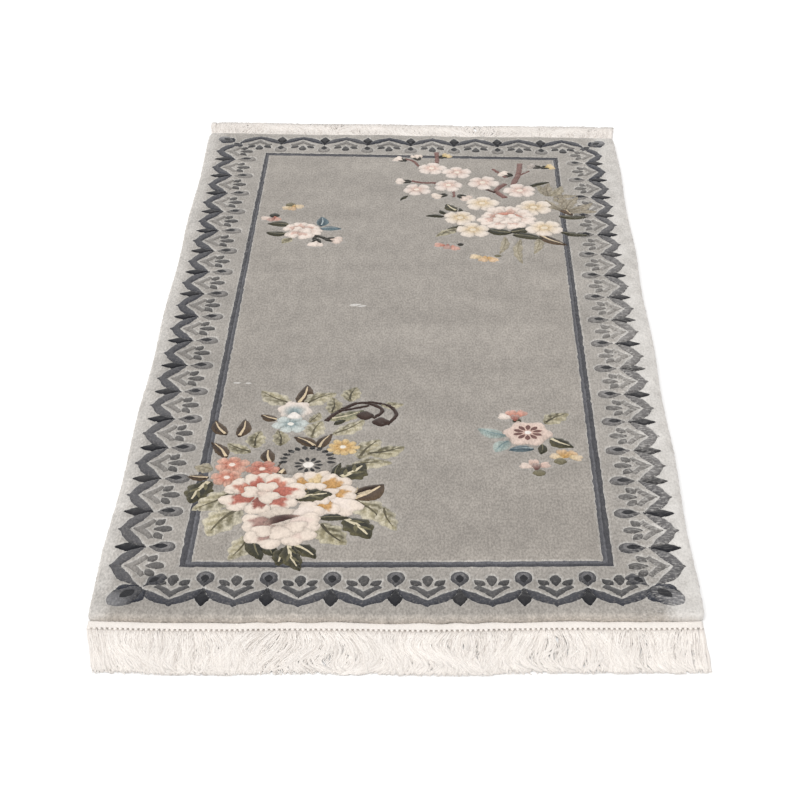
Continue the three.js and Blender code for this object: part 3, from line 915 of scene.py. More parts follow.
def border_corner(side_x, side_y):
    """The bud on the diagonal of one corner, with a small one inward of it."""
    def place(points):
        along, depth = (points - [0, CORNER_FOOT]).T * CORNER_SIZE[side_y]
        depth = depth + CORNER_FOOT - CORNER_OUT[side_y]
        x = side_x * (HALF_WIDTH - (depth + along) * math.sqrt(0.5))
        y = side_y * (HALF_LENGTH - (depth - along) * math.sqrt(0.5))
        return lay(np.column_stack([x, y]))

    def stamp(rows, paint, kind="border"):
        add(place(mirrored(rows, BORDER_STEP)), paint, kind, "border")

    tip = place(np.array([CORNER_BODY[0][:2]], float))[0]
    stamp(CORNER_BODY, around(tip, CORNER_TIP_FADE, dye("corner_tip"), dye("bud")))
    sepal = bow_path([*CORNER_SEPAL, CORNER_SEPAL[0]], BORDER_STEP)[:-1]
    for side in (1, -1):
        add(place(sepal * [side, 1]), even(dye("chevron")), "border", "border")
    stamp(CORNER_CORE, even(dye("bud_core")), "soft")
    stamp(CORNER_INNER, even(dye("bud")))
    stamp(CORNER_INNER_CORE, even(dye("bud_core")), "soft")


def frame_line():
    """The bands that part the border from the field, and the field itself."""
    for start, name in FRAME_BANDS:
        corners = []
        for side_x, side_y in ((-1, -1), (1, -1), (1, 1), (-1, 1)):
            x_side = "left" if side_x < 0 else "right"
            y_side = "near" if side_y < 0 else "far"
            x_end, y_end = (side_y + 1) // 2, (side_x + 1) // 2
            x_inset = FRAME_INSET[x_side][x_end] + start * FRAME_WIDTH[x_side][x_end]
            y_inset = FRAME_INSET[y_side][y_end] + start * FRAME_WIDTH[y_side][y_end]
            corners.append((side_x * (HALF_WIDTH - x_inset), side_y * (HALF_LENGTH - y_inset)))
        kind = "soft" if name == "frame_inner" else "frame"
        add(lay(spaced(corners, FRAME_STEP)), even(dye(name)), kind, "ground", ground=name == "field")


def border_place(side):
    """The function that puts points, given as way along and depth, on one side of the border."""
    layout = SIDES[side]

    def place(points):
        along, depth = points.T
        way = 0.5 + 0.5 * along / layout["half"]
        outer, inner = (first + (last - first) * way for first, last in BORDER_SHIFT[side].values())
        share = (depth - SHIFT_DEPTHS[0]) / (SHIFT_DEPTHS[1] - SHIFT_DEPTHS[0])
        depth = depth + outer + (inner - outer) * share
        plan = np.outer(along, layout["along"]) + np.outer(depth - layout["out"], layout["into"])
        plan[:, 1] += SIDE_CREEP[side] * (1 - (plan[:, 1] / HALF_LENGTH) ** CREEP_POWER)
        return lay(plan)
    return place


def border():
    for side, layout in SIDES.items():
        border_side(border_place(side), *BORDER_REPEATS[layout["repeats"]], BORDER_SHEEN_PALING[side])
    for side_x in (-1, 1):
        for side_y in (-1, 1):
            border_corner(side_x, side_y)


def leaf(base, tip, width, kind, turn=1):
    """A shaded leaf with a vein, and side veins if it is a broad green one."""
    left, right, rim, vein = (linear(text) for text in LEAF_KINDS[kind])
    lobes = streaks = 0
    if kind in LOBED_KINDS:
        lobes = LEAF_LOBE_DEPTH
        streaks = 0 if kind == "green" else STREAK_SHARE
        width = LEAF_FULLNESS * width
        tip = np.array(tip) + LEAF_REACH * (np.array(tip) - base)
    run, side = leaf_axes(base, tip)
    bend = turn * LEAF_BEND * np.linalg.norm(run)
    paint = halves(base, tip, width, bend, left, right, rim, streaks)
    add(lens(base, tip, width, bend=bend, lobes=lobes), paint, "flower")
    if width < VEINED_WIDTH:
        return

    def spot(share, out):
        return np.array(base, float) + share * run + (bow(share, bend) + out * width) * side

    broad = VEIN_SHARE["blade" if kind in BLADED_KINDS else "line"] * width
    stops = [spot(share, 0) for share in VEIN_STOPS]
    add(ribbon(stops, broad, VEIN_TAPER * broad), even(vein), "vein")
    if kind == "green" and width >= SIDE_VEINED_WIDTH:
        for start, out in SIDE_VEINS:
            stop = spot(start + SIDE_VEIN_RUN, out)
            add(lens(spot(start, 0), stop, SIDE_VEIN_WIDTH * width), even(rim), "vein")


def blossom(centre, radius, kind, turn):
    *texts, count = BLOSSOM_KINDS[kind]
    rim, body, heart, eye = (linear(text) for text in texts)
    width = PETAL_FULLNESS * radius * math.sin(math.pi / count)
    for i in range(count):
        angle = math.radians(turn) + 2 * math.pi * i / count
        foot = np.array(centre) + BLOSSOM["foot"] * radius * unit(angle)
        length = radius * random.uniform(BLOSSOM["shortest"], 1.0)
        outline = petal(foot, angle, length, width, PETAL_WAVE, -BLOSSOM_POINT)
        add(outline, around(centre, radius, body, rim, PETAL_FADE), "petal")
    outline = ruffled(
        centre, BLOSSOM["heart"] * radius, count, BLOSSOM_LOBES["heart"], count * math.radians(turn)
    )
    add(outline, around(centre, BLOSSOM["heart_fade"] * radius, heart, body, HEART_FADE), "soft")
    add(ruffled(centre, BLOSSOM["eye"] * radius, EYE_LOBES, BLOSSOM_LOBES["eye"], 0), even(eye), "vein")


def loose_petal(centre, radius, turn, name):
    angle = math.radians(turn)
    foot = np.array(centre) - radius * unit(angle)
    tip = LOOSE_CREAM * dye("cream") + (1 - LOOSE_CREAM) * dye(name)
    paint = around(foot, LOOSE_FADE * radius, dye(name), tip)
    add(petal(foot, angle, 2 * radius, LOOSE_WIDTH * radius), paint, "flower")


def bud(centre, radius, turn, name):
    """Two petals folded over each other above a dark calyx."""
    angle = math.radians(turn)
    foot = np.array(centre) - radius * unit(angle)
    for side in (1, -1):
        middle = np.array(centre) + BUD_PETALS["out"] * radius * unit(angle + side * BUD_PETALS["apart"])
        loose_petal(middle, BUD_PETALS["size"] * radius, turn + side * BUD_PETALS["lean"], name)
    base = foot - BUD_CALYX["foot"] * radius * unit(angle)
    for lean in BUD_CALYX["leans"]:
        tip = foot + BUD_CALYX["reach"] * radius * unit(angle + lean)
        add(lens(base, tip, BUD_CALYX["width"] * radius), even(dye("calyx")), "flower")


def flamed(foot, angle, length, width, reach, blotch, rim):
    """A petal's paint: a blotch with a flame-shaped edge that fades to a pale rim."""
    axes = np.column_stack([unit(angle), unit(angle + math.pi / 2)])

    def paint(points):
        way, sideways = ((points - foot) @ axes / [length, width / 2]).T
        edge = reach * (1 - FLAME["narrowing"] * sideways ** 2)
        edge += FLAME["wave"] * np.sin(FLAME["waves"] * sideways + PETAL_TURNS * angle)
        share = ease((way - edge + FLAME["early"]) / FLAME["fade"])[:, None]
        foot_shade = FLAME_FOOT["shade"] * (1 - ease(way / FLAME_FOOT["end"]))
        streaks = FLAME_STREAKS["size"] * np.sin(FLAME_STREAKS["waves"] * sideways)
        body = rim * (1 - foot_shade + streaks)[:, None]
        return blotch + (body - blotch) * share
    return paint


def peony(name, centre, radius, rim, reach, petals, ruffles):
    """A full flower head: outer petals with flame-shaped blotches, then a fold and the inner ruffles."""
    centre = np.array(centre, float)
    back = ruffled(centre, radius, PEONY_BACK["lobes"], PEONY_BACK["depth"], 0)
    add(back, even(PEONY_BACK["shade"] * dye(rim)), "flower")
    for middle, length, width, blotch in petals:
        outward = np.array(middle) - centre
        angle = math.atan2(outward[1], outward[0])
        angle += random.uniform(-PEONY_TURN["petal"], PEONY_TURN["petal"])
        foot = np.array(middle) - 0.5 * length * unit(angle)
        length = length * random.uniform(*PEONY_LENGTH)
        width = width * random.uniform(*PEONY_WIDTH)
        paint = flamed(foot, angle, length, width, reach, dye(blotch), dye(rim))
        add(petal(foot, angle, length, width, PETAL_WAVE), paint, "petal")
    if name in PEONY_FOLDS:
        base, tip, width, bend, fold = PEONY_FOLDS[name]
        middle = 0.5 * (np.array(base) + np.array(tip))
        fade = FOLD_FADE["reach"] * np.linalg.norm(middle - base)
        paint = around(middle, fade, dye(fold), dye("plum"), FOLD_FADE["power"])
        add(lens(base, tip, width, bend=bend), paint, "petal")
    for middle, size in ruffles:
        outward = np.array(middle) - centre
        angle = math.atan2(outward[1], outward[0])
        angle += random.uniform(-PEONY_TURN["ruffle"], PEONY_TURN["ruffle"])
        foot = np.array(middle) - size * unit(angle)
        inner = PEONY_RUFFLE_DYES["rim"] * dye(rim) + PEONY_RUFFLE_DYES["blotch"] * dye(petals[0][3])
        length, width = PEONY_RUFFLE["length"] * size, PEONY_RUFFLE["width"] * size
        outline = petal(foot, angle, length, width, PEONY_RUFFLE["wave"] * PETAL_WAVE)
        add(outline, around(foot, PEONY_RUFFLE["fade"] * size, inner, dye(rim)), "petal")


def drop_ring(centre, eye, drops, inner, outer, name, turn):
    for i in range(drops):
        angle = math.radians(turn) + 2 * math.pi * i / drops
        base, tip = np.array(centre) + outer * unit(angle), np.array(centre) + inner * unit(angle)
        add(lens(base, tip, DROP_WIDTH * (outer - inner)), even(dye(name)), "vein")
    add(ruffled(centre, eye, DROP_EYE["lobes"], DROP_EYE["depth"], 0), even(dye("white")), "vein")


def dotted_flower():
    """A flower of the field's own grey, drawn by dark drops and an arc of dots."""
    add(ruffled(*DOTTED_HEAD), even(DOTTED_SHADE * dye("field")), "flower")
    for angle in np.radians(np.linspace(DOT_ARC["from"], DOT_ARC["to"], DOT_ARC["dots"])):
        middle = np.array(DOT_ARC["centre"]) + DOT_ARC["reach"] * unit(angle)
        half = DOT_ARC["half"] * unit(angle)
        add(lens(middle - half, middle + half, DOT_ARC["width"]), even(dye("black")), "vein")


def fading_head(head, fade, inner, outer):
    """A round open flower whose middle fades to its rim."""
    centre, reach, power = fade
    add(ruffled(*head), around(centre, reach, dye(inner), dye(outer), power), "flower")


def wear_marks():
    for start, stop, width in WEAR:
        add(lens(start, stop, width), even(dye("worn")), "soft", "ground")


def sprays():
    for turn, row in enumerate(NEAR_LEAVES + RIGHT_LEAVES + LEFT_LEAVES + FAR_LEAVES):
        leaf(*row, turn=1 - 2 * (turn % 2))
    for points, first, last, name in NEAR_TENDRILS + LEFT_STEMS + FAR_BRANCHES:
        add(ribbon(points, first, last), even(dye(name)), "flower")
    for middle, radius, name in CALYXES:
        knob = ruffled(middle, radius, CALYX_LOBES["lobes"], CALYX_LOBES["depth"], 0)
        add(knob, even(dye(name)), "flower")
    fading_head(SKY_HEAD, SKY_FADE, "sky", "cream")
    dotted_flower()
    fading_head(PINK_HEAD, PINK_FADE, "plum", "blush")
    for row in NEAR_BLOSSOMS + FAR_BLOSSOMS:
        blossom(*row)
    add(ruffled(*SKY_EYE), even(dye("white")), "flower")
    for row in DROP_RINGS:
        drop_ring(*row)
    for row in LOOSE_PETALS:
        loose_petal(*row)
    for row in BUDS:
        bud(*row)
    for name, flower in PEONIES.items():
        peony(name, **flower)
        if name == "ochre":
            leaf(*PEONY_LEAF)


# Meshing

def inside(points, outline):
    """Which points are inside a closed outline."""
    low, high = outline.min(axis=0), outline.max(axis=0)
    found = np.zeros(len(points), bool)
    near = np.flatnonzero(((points >= low) & (points <= high)).all(axis=1))
    if len(near) == 0:
        return found
    x, y = points[near].T
    hit = np.zeros(len(near), bool)
    for (ax, ay), (bx, by) in zip(outline, np.roll(outline, -1, axis=0)):
        spans = (ay > y) != (by > y)
        if spans.any():
            hit[spans] ^= x[spans] < ax + (y[spans] - ay) * (bx - ax) / (by - ay)
    found[near] = hit
    return found


def owners(points):
    """The number of the topmost patch at each point, or -1 on the ground."""
    owner = np.full(len(points), -1)
    for number, patch in enumerate(patches):
        owner[inside(points, patch.outline)] = number
    return owner


def tree_of(points):
    tree = KDTree(len(points))
    for i, (x, y) in enumerate(points):
        tree.insert((x, y, 0), i)
    tree.balance()
    return tree


def nearest(tree, points):
    """Number of and distance to the nearest point of a tree, for each point."""
    found = [tree.find((x, y, 0)) for x, y in points]
    return np.array([f[1] for f in found]), np.array([f[2] for f in found])


def seen_edges():
    """The points and edges of every outline that later patches leave in sight, and each point's patch."""
    points, edges, numbers = [], [], []
    boxes = [(patch.outline.min(axis=0), patch.outline.max(axis=0)) for patch in patches]
    start = 0
    for number, patch in enumerate(patches):
        hidden = np.zeros(len(patch.outline), bool)
        low, high = boxes[number]
        for later in range(number + 1, len(patches)):
            if (boxes[later][0] < high).all() and (boxes[later][1] > low).all():
                hidden |= inside(patch.outline, patches[later].outline)
        keep = ~hidden | ~np.roll(hidden, 1) | ~np.roll(hidden, -1)
        place = start + np.cumsum(keep) - 1
        follow = np.roll(np.arange(len(keep)), -1)
        joined = keep & keep[follow] & ~(hidden & hidden[follow])
        edges += list(zip(place[joined].tolist(), place[follow][joined].tolist()))
        points.append(patch.outline[keep])
        numbers.append(np.full(keep.sum(), number))
        start += keep.sum()
    return np.concatenate(points), edges, np.concatenate(numbers)


def side_points():
    """Points on both sides of every outline, which hold the shape of its groove."""
    rows = []
    for patch in patches:
        if GROOVE[patch.kind] < SHALLOW_GROOVE:
            continue
        run = np.roll(patch.outline, -1, axis=0) - np.roll(patch.outline, 1, axis=0)
        length = np.maximum(np.linalg.norm(run, axis=1), 1e-6)[:, None]
        side = np.column_stack([-run[:, 1], run[:, 0]]) / length
        offsets = (CARVED_SIDE,) if patch.kind in ("flower", "petal") else (CARVED_SIDE, CARVED_FADE)
        for offset in offsets:
            rows += [patch.outline + offset * side, patch.outline - offset * side]
    return np.concatenate(rows)


def grid(step):
    """Points in staggered rows over the whole rug and past its slanted ends."""
    rows = np.arange(-HALF_LENGTH - ROWS_PAST["near"], HALF_LENGTH + ROWS_PAST["far"], step * ROW_SHARE)
    columns = np.arange(-HALF_WIDTH, HALF_WIDTH, step)
    x, y = np.meshgrid(columns, rows)
    x[1::2] += step / 2
    return np.column_stack([x.ravel(), y.ravel()])


def thinned(points, gap):
    """Leaves one point in each small square."""
    _, first = np.unique(np.round(points / gap).astype(int), axis=0, return_index=True)
    return points[np.sort(first)]


def free_points(edge_points, outline):
    """Groove sides and fill, kept clear of the outlines and of each other."""
    sides = thinned(side_points(), SIDE_GAP)
    _, gaps = nearest(tree_of(edge_points), sides)
    sides = sides[gaps > SIDE_CLEARANCE * CARVED_SIDE]
    tree = tree_of(np.concatenate([edge_points, sides, outline]))
    fine = grid(MOTIF_STEP)
    fine_owner = owners(fine)
    on_motif = np.array([n >= 0 and patches[n].lift == LIFT["flower"] for n in fine_owner])
    fill = np.concatenate([fine[on_motif], grid(GROUND_STEP)])
    _, gaps = nearest(tree, fill)
    fill = thinned(fill[gaps > CLEARANCE], FILL_GAP)
    free = np.concatenate([sides, fill])
    return free[inside(free, pile_outline(RIM_INSET + RIM_ROOM))]


def triangulate(points, edges):
    """Triangles over points that keep to the edges, where each point went, and which are crossings."""
    spots, _, faces, sources, _, _ = delaunay_2d_cdt(
        [Vector(p) for p in points], edges, [], WHOLE_HULL, MERGE_DISTANCE, True
    )
    flat = np.array([tuple(p) for p in spots])
    place = np.empty(len(points), int)
    for number, merged in enumerate(sources):
        place[merged] = number
    triangles = np.array(faces)
    a, b, c = (flat[triangles[:, i]] for i in range(3))
    turned = (b[:, 0] - a[:, 0]) * (c[:, 1] - a[:, 1]) < (b[:, 1] - a[:, 1]) * (c[:, 0] - a[:, 0])
    triangles[turned] = triangles[turned][:, ::-1]
    return flat, triangles, place, np.array([not merged for merged in sources])


def mesh_object(name, vertices, faces, material):
    mesh = bpy.data.meshes.new(name)
    mesh.from_pydata((np.asarray(vertices) * MM).tolist(), [], [tuple(face) for face in faces])
    mesh.shade_smooth()
    mesh.materials.append(material)
    made = bpy.data.objects.new(name, mesh)
    bpy.context.collection.objects.link(made)
    return made


# The pile

def pile_top():
    """The carved top: points, triangles, the patch of each, the rim, and light and shade by grooves."""
    outline = pile_outline(RIM_INSET)
    edge_points, edges, numbers = seen_edges()
    free = free_points(edge_points, outline)
    count = len(outline)
    rim_edges = [(i, (i + 1) % count) for i in range(count)]
    all_edges = rim_edges + [(a + count, b + count) for a, b in edges]
    all_points = np.concatenate([outline, edge_points, free])
    flat, triangles, place, crossing = triangulate(all_points, all_edges)
    middles = flat[triangles].mean(axis=1)
    kept = inside(middles, pile_outline(RIM_INSET + SLIVER))
    triangles = triangles[kept]
    owner = owners(middles[kept])

    found, gap = nearest(tree_of(edge_points), flat)
    gap[crossing] = 0
    depth = np.array([GROOVE[patch.kind] for patch in patches])[numbers[found]]
    lifts = np.array([patch.lift for patch in patches] + [0])[owner]
    total, weight = np.zeros(len(flat)), np.full(len(flat), 1e-9)
    np.add.at(total, triangles, lifts[:, None])
    np.add.at(weight, triangles, 1)
    carved = depth * (1 - ease(gap / GROOVE_HALF))
    uneven = np.where(total / weight > LIFT["border"], PILE_UNEVEN["motif"], PILE_UNEVEN["ground"])
    height = PILE_THICKNESS + total / weight - carved + uneven * random.standard_normal(len(flat))
    edge_gap = (np.array([HALF_WIDTH, HALF_LENGTH]) - np.abs(flat)).min(axis=1) - RIM_INSET
    height -= EDGE_FALL * (1 - ease(edge_gap / EDGE_FALL_WIDTH))
    rim = place[:count]
    height[rim] = PILE_THICKNESS - EDGE_FALL
    kinds = np.array([patch.kind for patch in patches])[numbers[found]]
    near_edge = 1 - ease(gap / CARVED_LIGHT_HALF)
    light = near_edge * np.array([CARVED_LIGHT[kind] for kind in kinds])
    shade = near_edge * np.array([CARVED_SHADE[kind] for kind in kinds])
    return np.column_stack([flat, height]), triangles, owner, rim, light, shade


def pile_wall(rim_points):
    """Rings of the tufted wall from the rounded rim down to the floor, and their unfolded plan."""
    rings, plans = [], []
    for share, inset, way in RIM:
        jitter = TUFT_JITTER * random.standard_normal((len(rim_points), 2)) * (share > 0)
        plan = pile_outline(inset) + jitter
        height = share * PILE_THICKNESS + TUFT_JITTER * random.standard_normal(len(plan)) * (share > 0)
        rings.append(np.column_stack([plan, height]))
        plans.append(pile_outline(RIM_INSET - way))
    return rings, plans


def ring_quads(upper, lower):
    """Faces between two rings of the wall, facing out."""
    return np.column_stack([lower, np.roll(lower, -1), np.roll(upper, -1), upper])


def nap_sheen_share(points):
    """How much the nap's painted sheen pales the ground at each plan point."""
    def wavy(main, other, length, bend_length, bend):
        return np.sin(main / length + bend * np.sin(other / bend_length))

    x, y = points.T
    blotch = 1 - NAP_SHEEN_BLOTCH + NAP_SHEEN_BLOTCH * wavy(x, y, **SHEEN_BLOTCH_ACROSS) * wavy(y, x, **SHEEN_BLOTCH_ALONG)
    along = np.clip(0.5 + y / PILE_LENGTH, 0, 1)
    total = np.zeros(len(x))
    for side, across in (("right", x), ("left", -x)):
        nap_sheen = NAP_SHEEN[side]
        strength = nap_sheen["near"] + (nap_sheen["far"] - nap_sheen["near"]) * along
        total += ease((across - nap_sheen["start"]) / nap_sheen["width"]) * strength
    return total * blotch


def top_colours(points, triangles, owner, light, shade):
    """The colour at each corner of each triangle of the top."""
    corners = points[triangles.ravel(), :2]
    corner_owner = np.repeat(owner, 3)
    colours = np.tile(dye("ground"), (len(corners), 1))
    on_ground = corner_owner < 0
    for number, patch in enumerate(patches):
        mine = corner_owner == number
        colours[mine] = patch.paint(corners[mine])
        if patch.ground:
            on_ground |= mine
    # Painted sheen of the nap pales the ground towards the sides
    nap_sheen = (nap_sheen_share(corners) * on_ground)[:, None]
    colours += nap_sheen * (dye("nap_sheen") - colours)
    # Painted highlight on the ground along grooves, and painted shade on the motif side of them
    light = (light[triangles.ravel()] * on_ground)[:, None]
    shade = (shade[triangles.ravel()] * ~on_ground)[:, None]
    return (colours + light * (dye("carved") - colours)) * (1 - shade)


def wall_colours(rim_points, rows):
    """Streaked corner colours of the wall's faces, with the nap's painted sheen, from the ground's at the rim
    to the wall's below, which is painted lighter than the ground as sheen on the tufts' sides.
    """
    nap_sheen = nap_sheen_share(rim_points)[:, None]
    top = dye("ground") + nap_sheen * (dye("nap_sheen") - dye("ground"))
    foot = dye("wall") + nap_sheen * (dye("nap_sheen") - dye("wall"))
    streak = 1 + WALL_STREAK * random.standard_normal((len(rim_points), 1))
    levels = [top]
    for row in range(1, rows + 1):
        levels.append((top + (row / rows) ** WALL_FADE * (foot - top)) * streak)
    faces = []
    for upper, lower in zip(levels, levels[1:]):
        onward = [np.roll(lower, -1, axis=0), np.roll(upper, -1, axis=0)]
        faces.append(np.stack([lower, *onward, upper], axis=1))
    return np.concatenate(faces).reshape(-1, 3)


def rug_pile(material):
    """The whole pile as one closed mesh, with its dyes and its bake map."""
    points, triangles, owner, rim, light, shade = pile_top()
    rings, ring_plans = pile_wall(points[rim])
    count = len(rim)
    vertices = np.concatenate([points, *rings])
    numbers = [rim] + [len(points) + i * count + np.arange(count) for i in range(len(rings))]
    wall = np.concatenate([ring_quads(upper, lower) for upper, lower in zip(numbers, numbers[1:])])

    foot = rings[-1][:, :2]
    fill = grid(UNDERSIDE_STEP)
    fill = fill[inside(fill, pile_outline(UNDERSIDE_INSET))]
    loop = [(i, (i + 1) % count) for i in range(count)]
    flat, under, place, _ = triangulate(np.concatenate([foot, fill]), loop)
    under = under[inside(flat[under].mean(axis=1), pile_outline(RIM[-1][1] + SLIVER))]
    to_vertex = np.empty(len(flat), int)
    to_vertex[place[count:]] = len(vertices) + np.arange(len(fill))
    to_vertex[place[:count]] = numbers[-1]
    vertices = np.concatenate([vertices, np.column_stack([fill, np.zeros(len(fill))])])
    under = to_vertex[under][:, ::-1]

    made = mesh_object("pile", vertices, [*triangles, *wall, *under], material)
    colours = np.concatenate([
        top_colours(points, triangles, owner, light, shade),
        wall_colours(points[rim, :2], len(rings)),
        np.tile(dye("backing"), (under.size, 1)),
    ])
    attribute = made.data.color_attributes.new("Dye", "FLOAT_COLOR", "CORNER")
    attribute.data.foreach_set("color", np.column_stack([colours, np.ones(len(colours))]).ravel())

    plan = np.concatenate([points[:, :2], *ring_plans, fill])
    beside = [PILE_WIDTH + ATLAS_MARGIN, 0]
    below = vertices[under.ravel(), :2] + beside
    spots = np.concatenate([plan[triangles.ravel()], plan[wall.ravel()], below])
    corner = [-HALF_WIDTH - ATLAS_MARGIN / 2, -HALF_LENGTH - ATLAS_MARGIN / 2]
    layer = made.data.uv_layers.new(name="OFBake")
    layer.data.foreach_set("uv", ((spots - corner) / ATLAS_SIZE).ravel())
    return made


# The fringes

def strip_edge(end, x, ruffle):
    """Where the end of the pile lies along Y at places across the rug."""
    edge = end_edge(end, 0, round(PILE_WIDTH / RIM_STEP), ruffle)
    return np.interp(x, edge[:, 0], edge[:, 1])


def tubes(paths, radii, sides, flat=1.0, turn=math.pi / 2):
    """Closed tubes, flat by a share, along paths given as an array of path, point and coordinate."""
    run = np.gradient(paths, axis=1)
    across = np.stack([-run[..., 1], run[..., 0], np.zeros(run.shape[:2])], axis=-1)
    across /= np.linalg.norm(across, axis=-1, keepdims=True)
    angles = turn + 2 * math.pi * np.arange(sides) / sides
    ring = np.cos(angles)[:, None] * across[:, :, None] + np.sin(angles)[:, None] * np.array([0, 0, flat])
    vertices = paths[:, :, None] + radii[..., None, None] * ring
    index = np.arange(vertices[..., 0].size).reshape(vertices.shape[:3])
    here, onward = index[:, :-1], index[:, 1:]
    walls = np.stack([here, np.roll(here, -1, axis=2), np.roll(onward, -1, axis=2), onward], axis=-1)
    caps = [*index[:, 0, ::-1], *index[:, -1]]
    return vertices.reshape(-1, 3), [*walls.reshape(-1, 4), *caps]


def woven_strip(end):
    """The flat woven strip between the pile and the knots, as a closed slab."""
    reach = HALF_WIDTH - PILE_CORNER + STRIP_PAST_CORNER
    columns = np.linspace(-reach, reach, WEAVE_COLUMNS + 1)
    rows = np.linspace(PIECE_GAP, PIECE_GAP + STRIP_WIDTH, WEAVE_ROWS + 1)
    x, way = np.meshgrid(columns, rows)
    share = (way - PIECE_GAP) / STRIP_WIDTH
    y = strip_edge(end, x, RUFFLE) * (1 - share) + strip_edge(end, x, 0) * share + end * way
    checker = np.indices(x.shape).sum(axis=0) % 2
    top = np.stack([x, y, STRIP_THICKNESS + WEAVE_RELIEF * (checker - 0.5)], axis=-1).reshape(-1, 3)
    index = np.arange(x.size).reshape(x.shape)
    quads = np.stack([index[:-1, :-1], index[:-1, 1:], index[1:, 1:], index[1:, :-1]], axis=-1)
    quads = quads.reshape(-1, 4)
    loop = np.concatenate([index[0, :-1], index[:-1, -1], index[-1, :0:-1], index[:0:-1, 0]])
    skirt = np.column_stack([loop, np.roll(loop, -1), np.roll(loop, -1) + x.size, loop + x.size])
    faces = [*quads, *(quads[:, ::-1] + x.size), *skirt]
    return np.concatenate([top, top * [1, 1, 0]]), faces, np.full(2 * x.size, ROOT_SHADE_SHARE["strip"])


def lock_roots(end, end_lean, sway, waves):
    """Places of the locks across the rug, where they start, how each sways and how the outer ones lean."""
    across = (np.arange(LOCKS) + 0.5) / LOCKS
    reach = HALF_WIDTH - PILE_CORNER + STRIP_PAST_CORNER
    x = reach * (2 * across - 1)
    y = strip_edge(end, x, 0) + end * (PIECE_GAP + STRIP_WIDTH)
    lean = end_lean[0] * (1 - across) ** END_LEAN_POWER + end_lean[1] * across ** END_LEAN_POWER
    return x, y, sway * np.sin(2 * math.pi * waves * across), lean


def knots(x, y, end):
    """The knot at the root of each lock."""
    half_width, half_length, half_height = KNOT_SIZE
    share = np.linspace(*KNOT_ENDS, KNOT_RINGS + 1)
    paths = np.empty((LOCKS, KNOT_RINGS + 1, 3))
    paths[..., 0] = x[:, None]
    paths[..., 1] = y[:, None] + end * 2 * half_length * (share - KNOT_BACK)
    paths[..., 2] = 0
    radii = np.tile(np.sin(math.pi * share) ** KNOT_FULLNESS * half_width, (LOCKS, 1))
    radii *= random.uniform(*KNOT_UNEVEN, (LOCKS, 1))
    vertices, faces = tubes(paths, radii, KNOT_SIDES)
    vertices[:, 2] = half_height + vertices[:, 2] * half_height / half_width
    vertices[:, 2] = np.maximum(vertices[:, 2], 0)
    return vertices, faces, np.full(len(vertices), ROOT_SHADE_SHARE["knot"])


def drifting(size):
    """A smooth random drift from lock to lock."""
    window = np.hanning(2 * DRIFT_LOCKS + 1)
    drift = np.convolve(random.standard_normal(LOCKS + 2 * DRIFT_LOCKS), window, "valid")
    return size * drift / drift.std()


def yarn_paths(x, y, sway, lean, end, length, uneven, past, each, drifts):
    """Paths of some yarns from each knot, wavy and straying, and how high in the heap each one lies."""
    count = LOCKS * each
    lock = np.repeat(np.arange(LOCKS), each)
    share = np.linspace(0, 1, YARN_POINTS) ** YARN_CROWD
    draw = random.standard_normal
    margin = np.clip(np.minimum(np.arange(LOCKS), np.arange(LOCKS)[::-1]) / DRIFT_LOCKS, 0, 1)
    calm = (CALM_SHARE + (1 - CALM_SHARE) * margin)[lock]
    stray = YARN_STRAY * calm * np.where(random.random(count) < WILD_SHARE, WILD_STRAY, 1)
    tip = (drifts["tip"] * margin + sway)[lock] + stray * draw(count)
    middle = (drifts["middle"] * margin)[lock] + STRAY_SHARE["middle"] * stray * draw(count)
    curl = (drifts["curl"] * margin)[lock] + STRAY_SHARE["curl"] * stray * draw(count)
    reach = length - uneven * random.random(count) - LOCK_UNEVEN * uneven * np.abs(draw(LOCKS))[lock]
    spread = np.tile(np.linspace(-1, 1, each), LOCKS) * YARN_SPREAD
    spread *= CALM_SPREAD + (1 - CALM_SPREAD) * calm
    waves = random.uniform(*YARN_WAVES, count)
    turn = random.uniform(0, 2 * math.pi, count)
    level = random.uniform(0, 1, count)
    wave = np.sin(2 * math.pi * waves[:, None] * share + turn[:, None]) * share
    opening = SPREAD_START + (1 - SPREAD_START) * ease(share * SPREAD_END)
    paths = np.empty((count, YARN_POINTS, 3))
    paths[..., 0] = (
        x[lock][:, None] + spread[:, None] * opening + YARN_WAVE * calm[:, None] * wave
        + tip[:, None] * share ** SWAY_POWER + middle[:, None] * np.sin(math.pi * share)
        + curl[:, None] * np.sin(2 * math.pi * share) * share + lean[lock][:, None] * share
    )
    limit = (HALF_WIDTH + random.uniform(-SIDE_ROOM, past, count))[:, None]
    paths[..., 0] = np.clip(paths[..., 0], -limit, limit)
    paths[..., 1] = y[lock][:, None] + end * share * reach[:, None]
    return paths, share, level


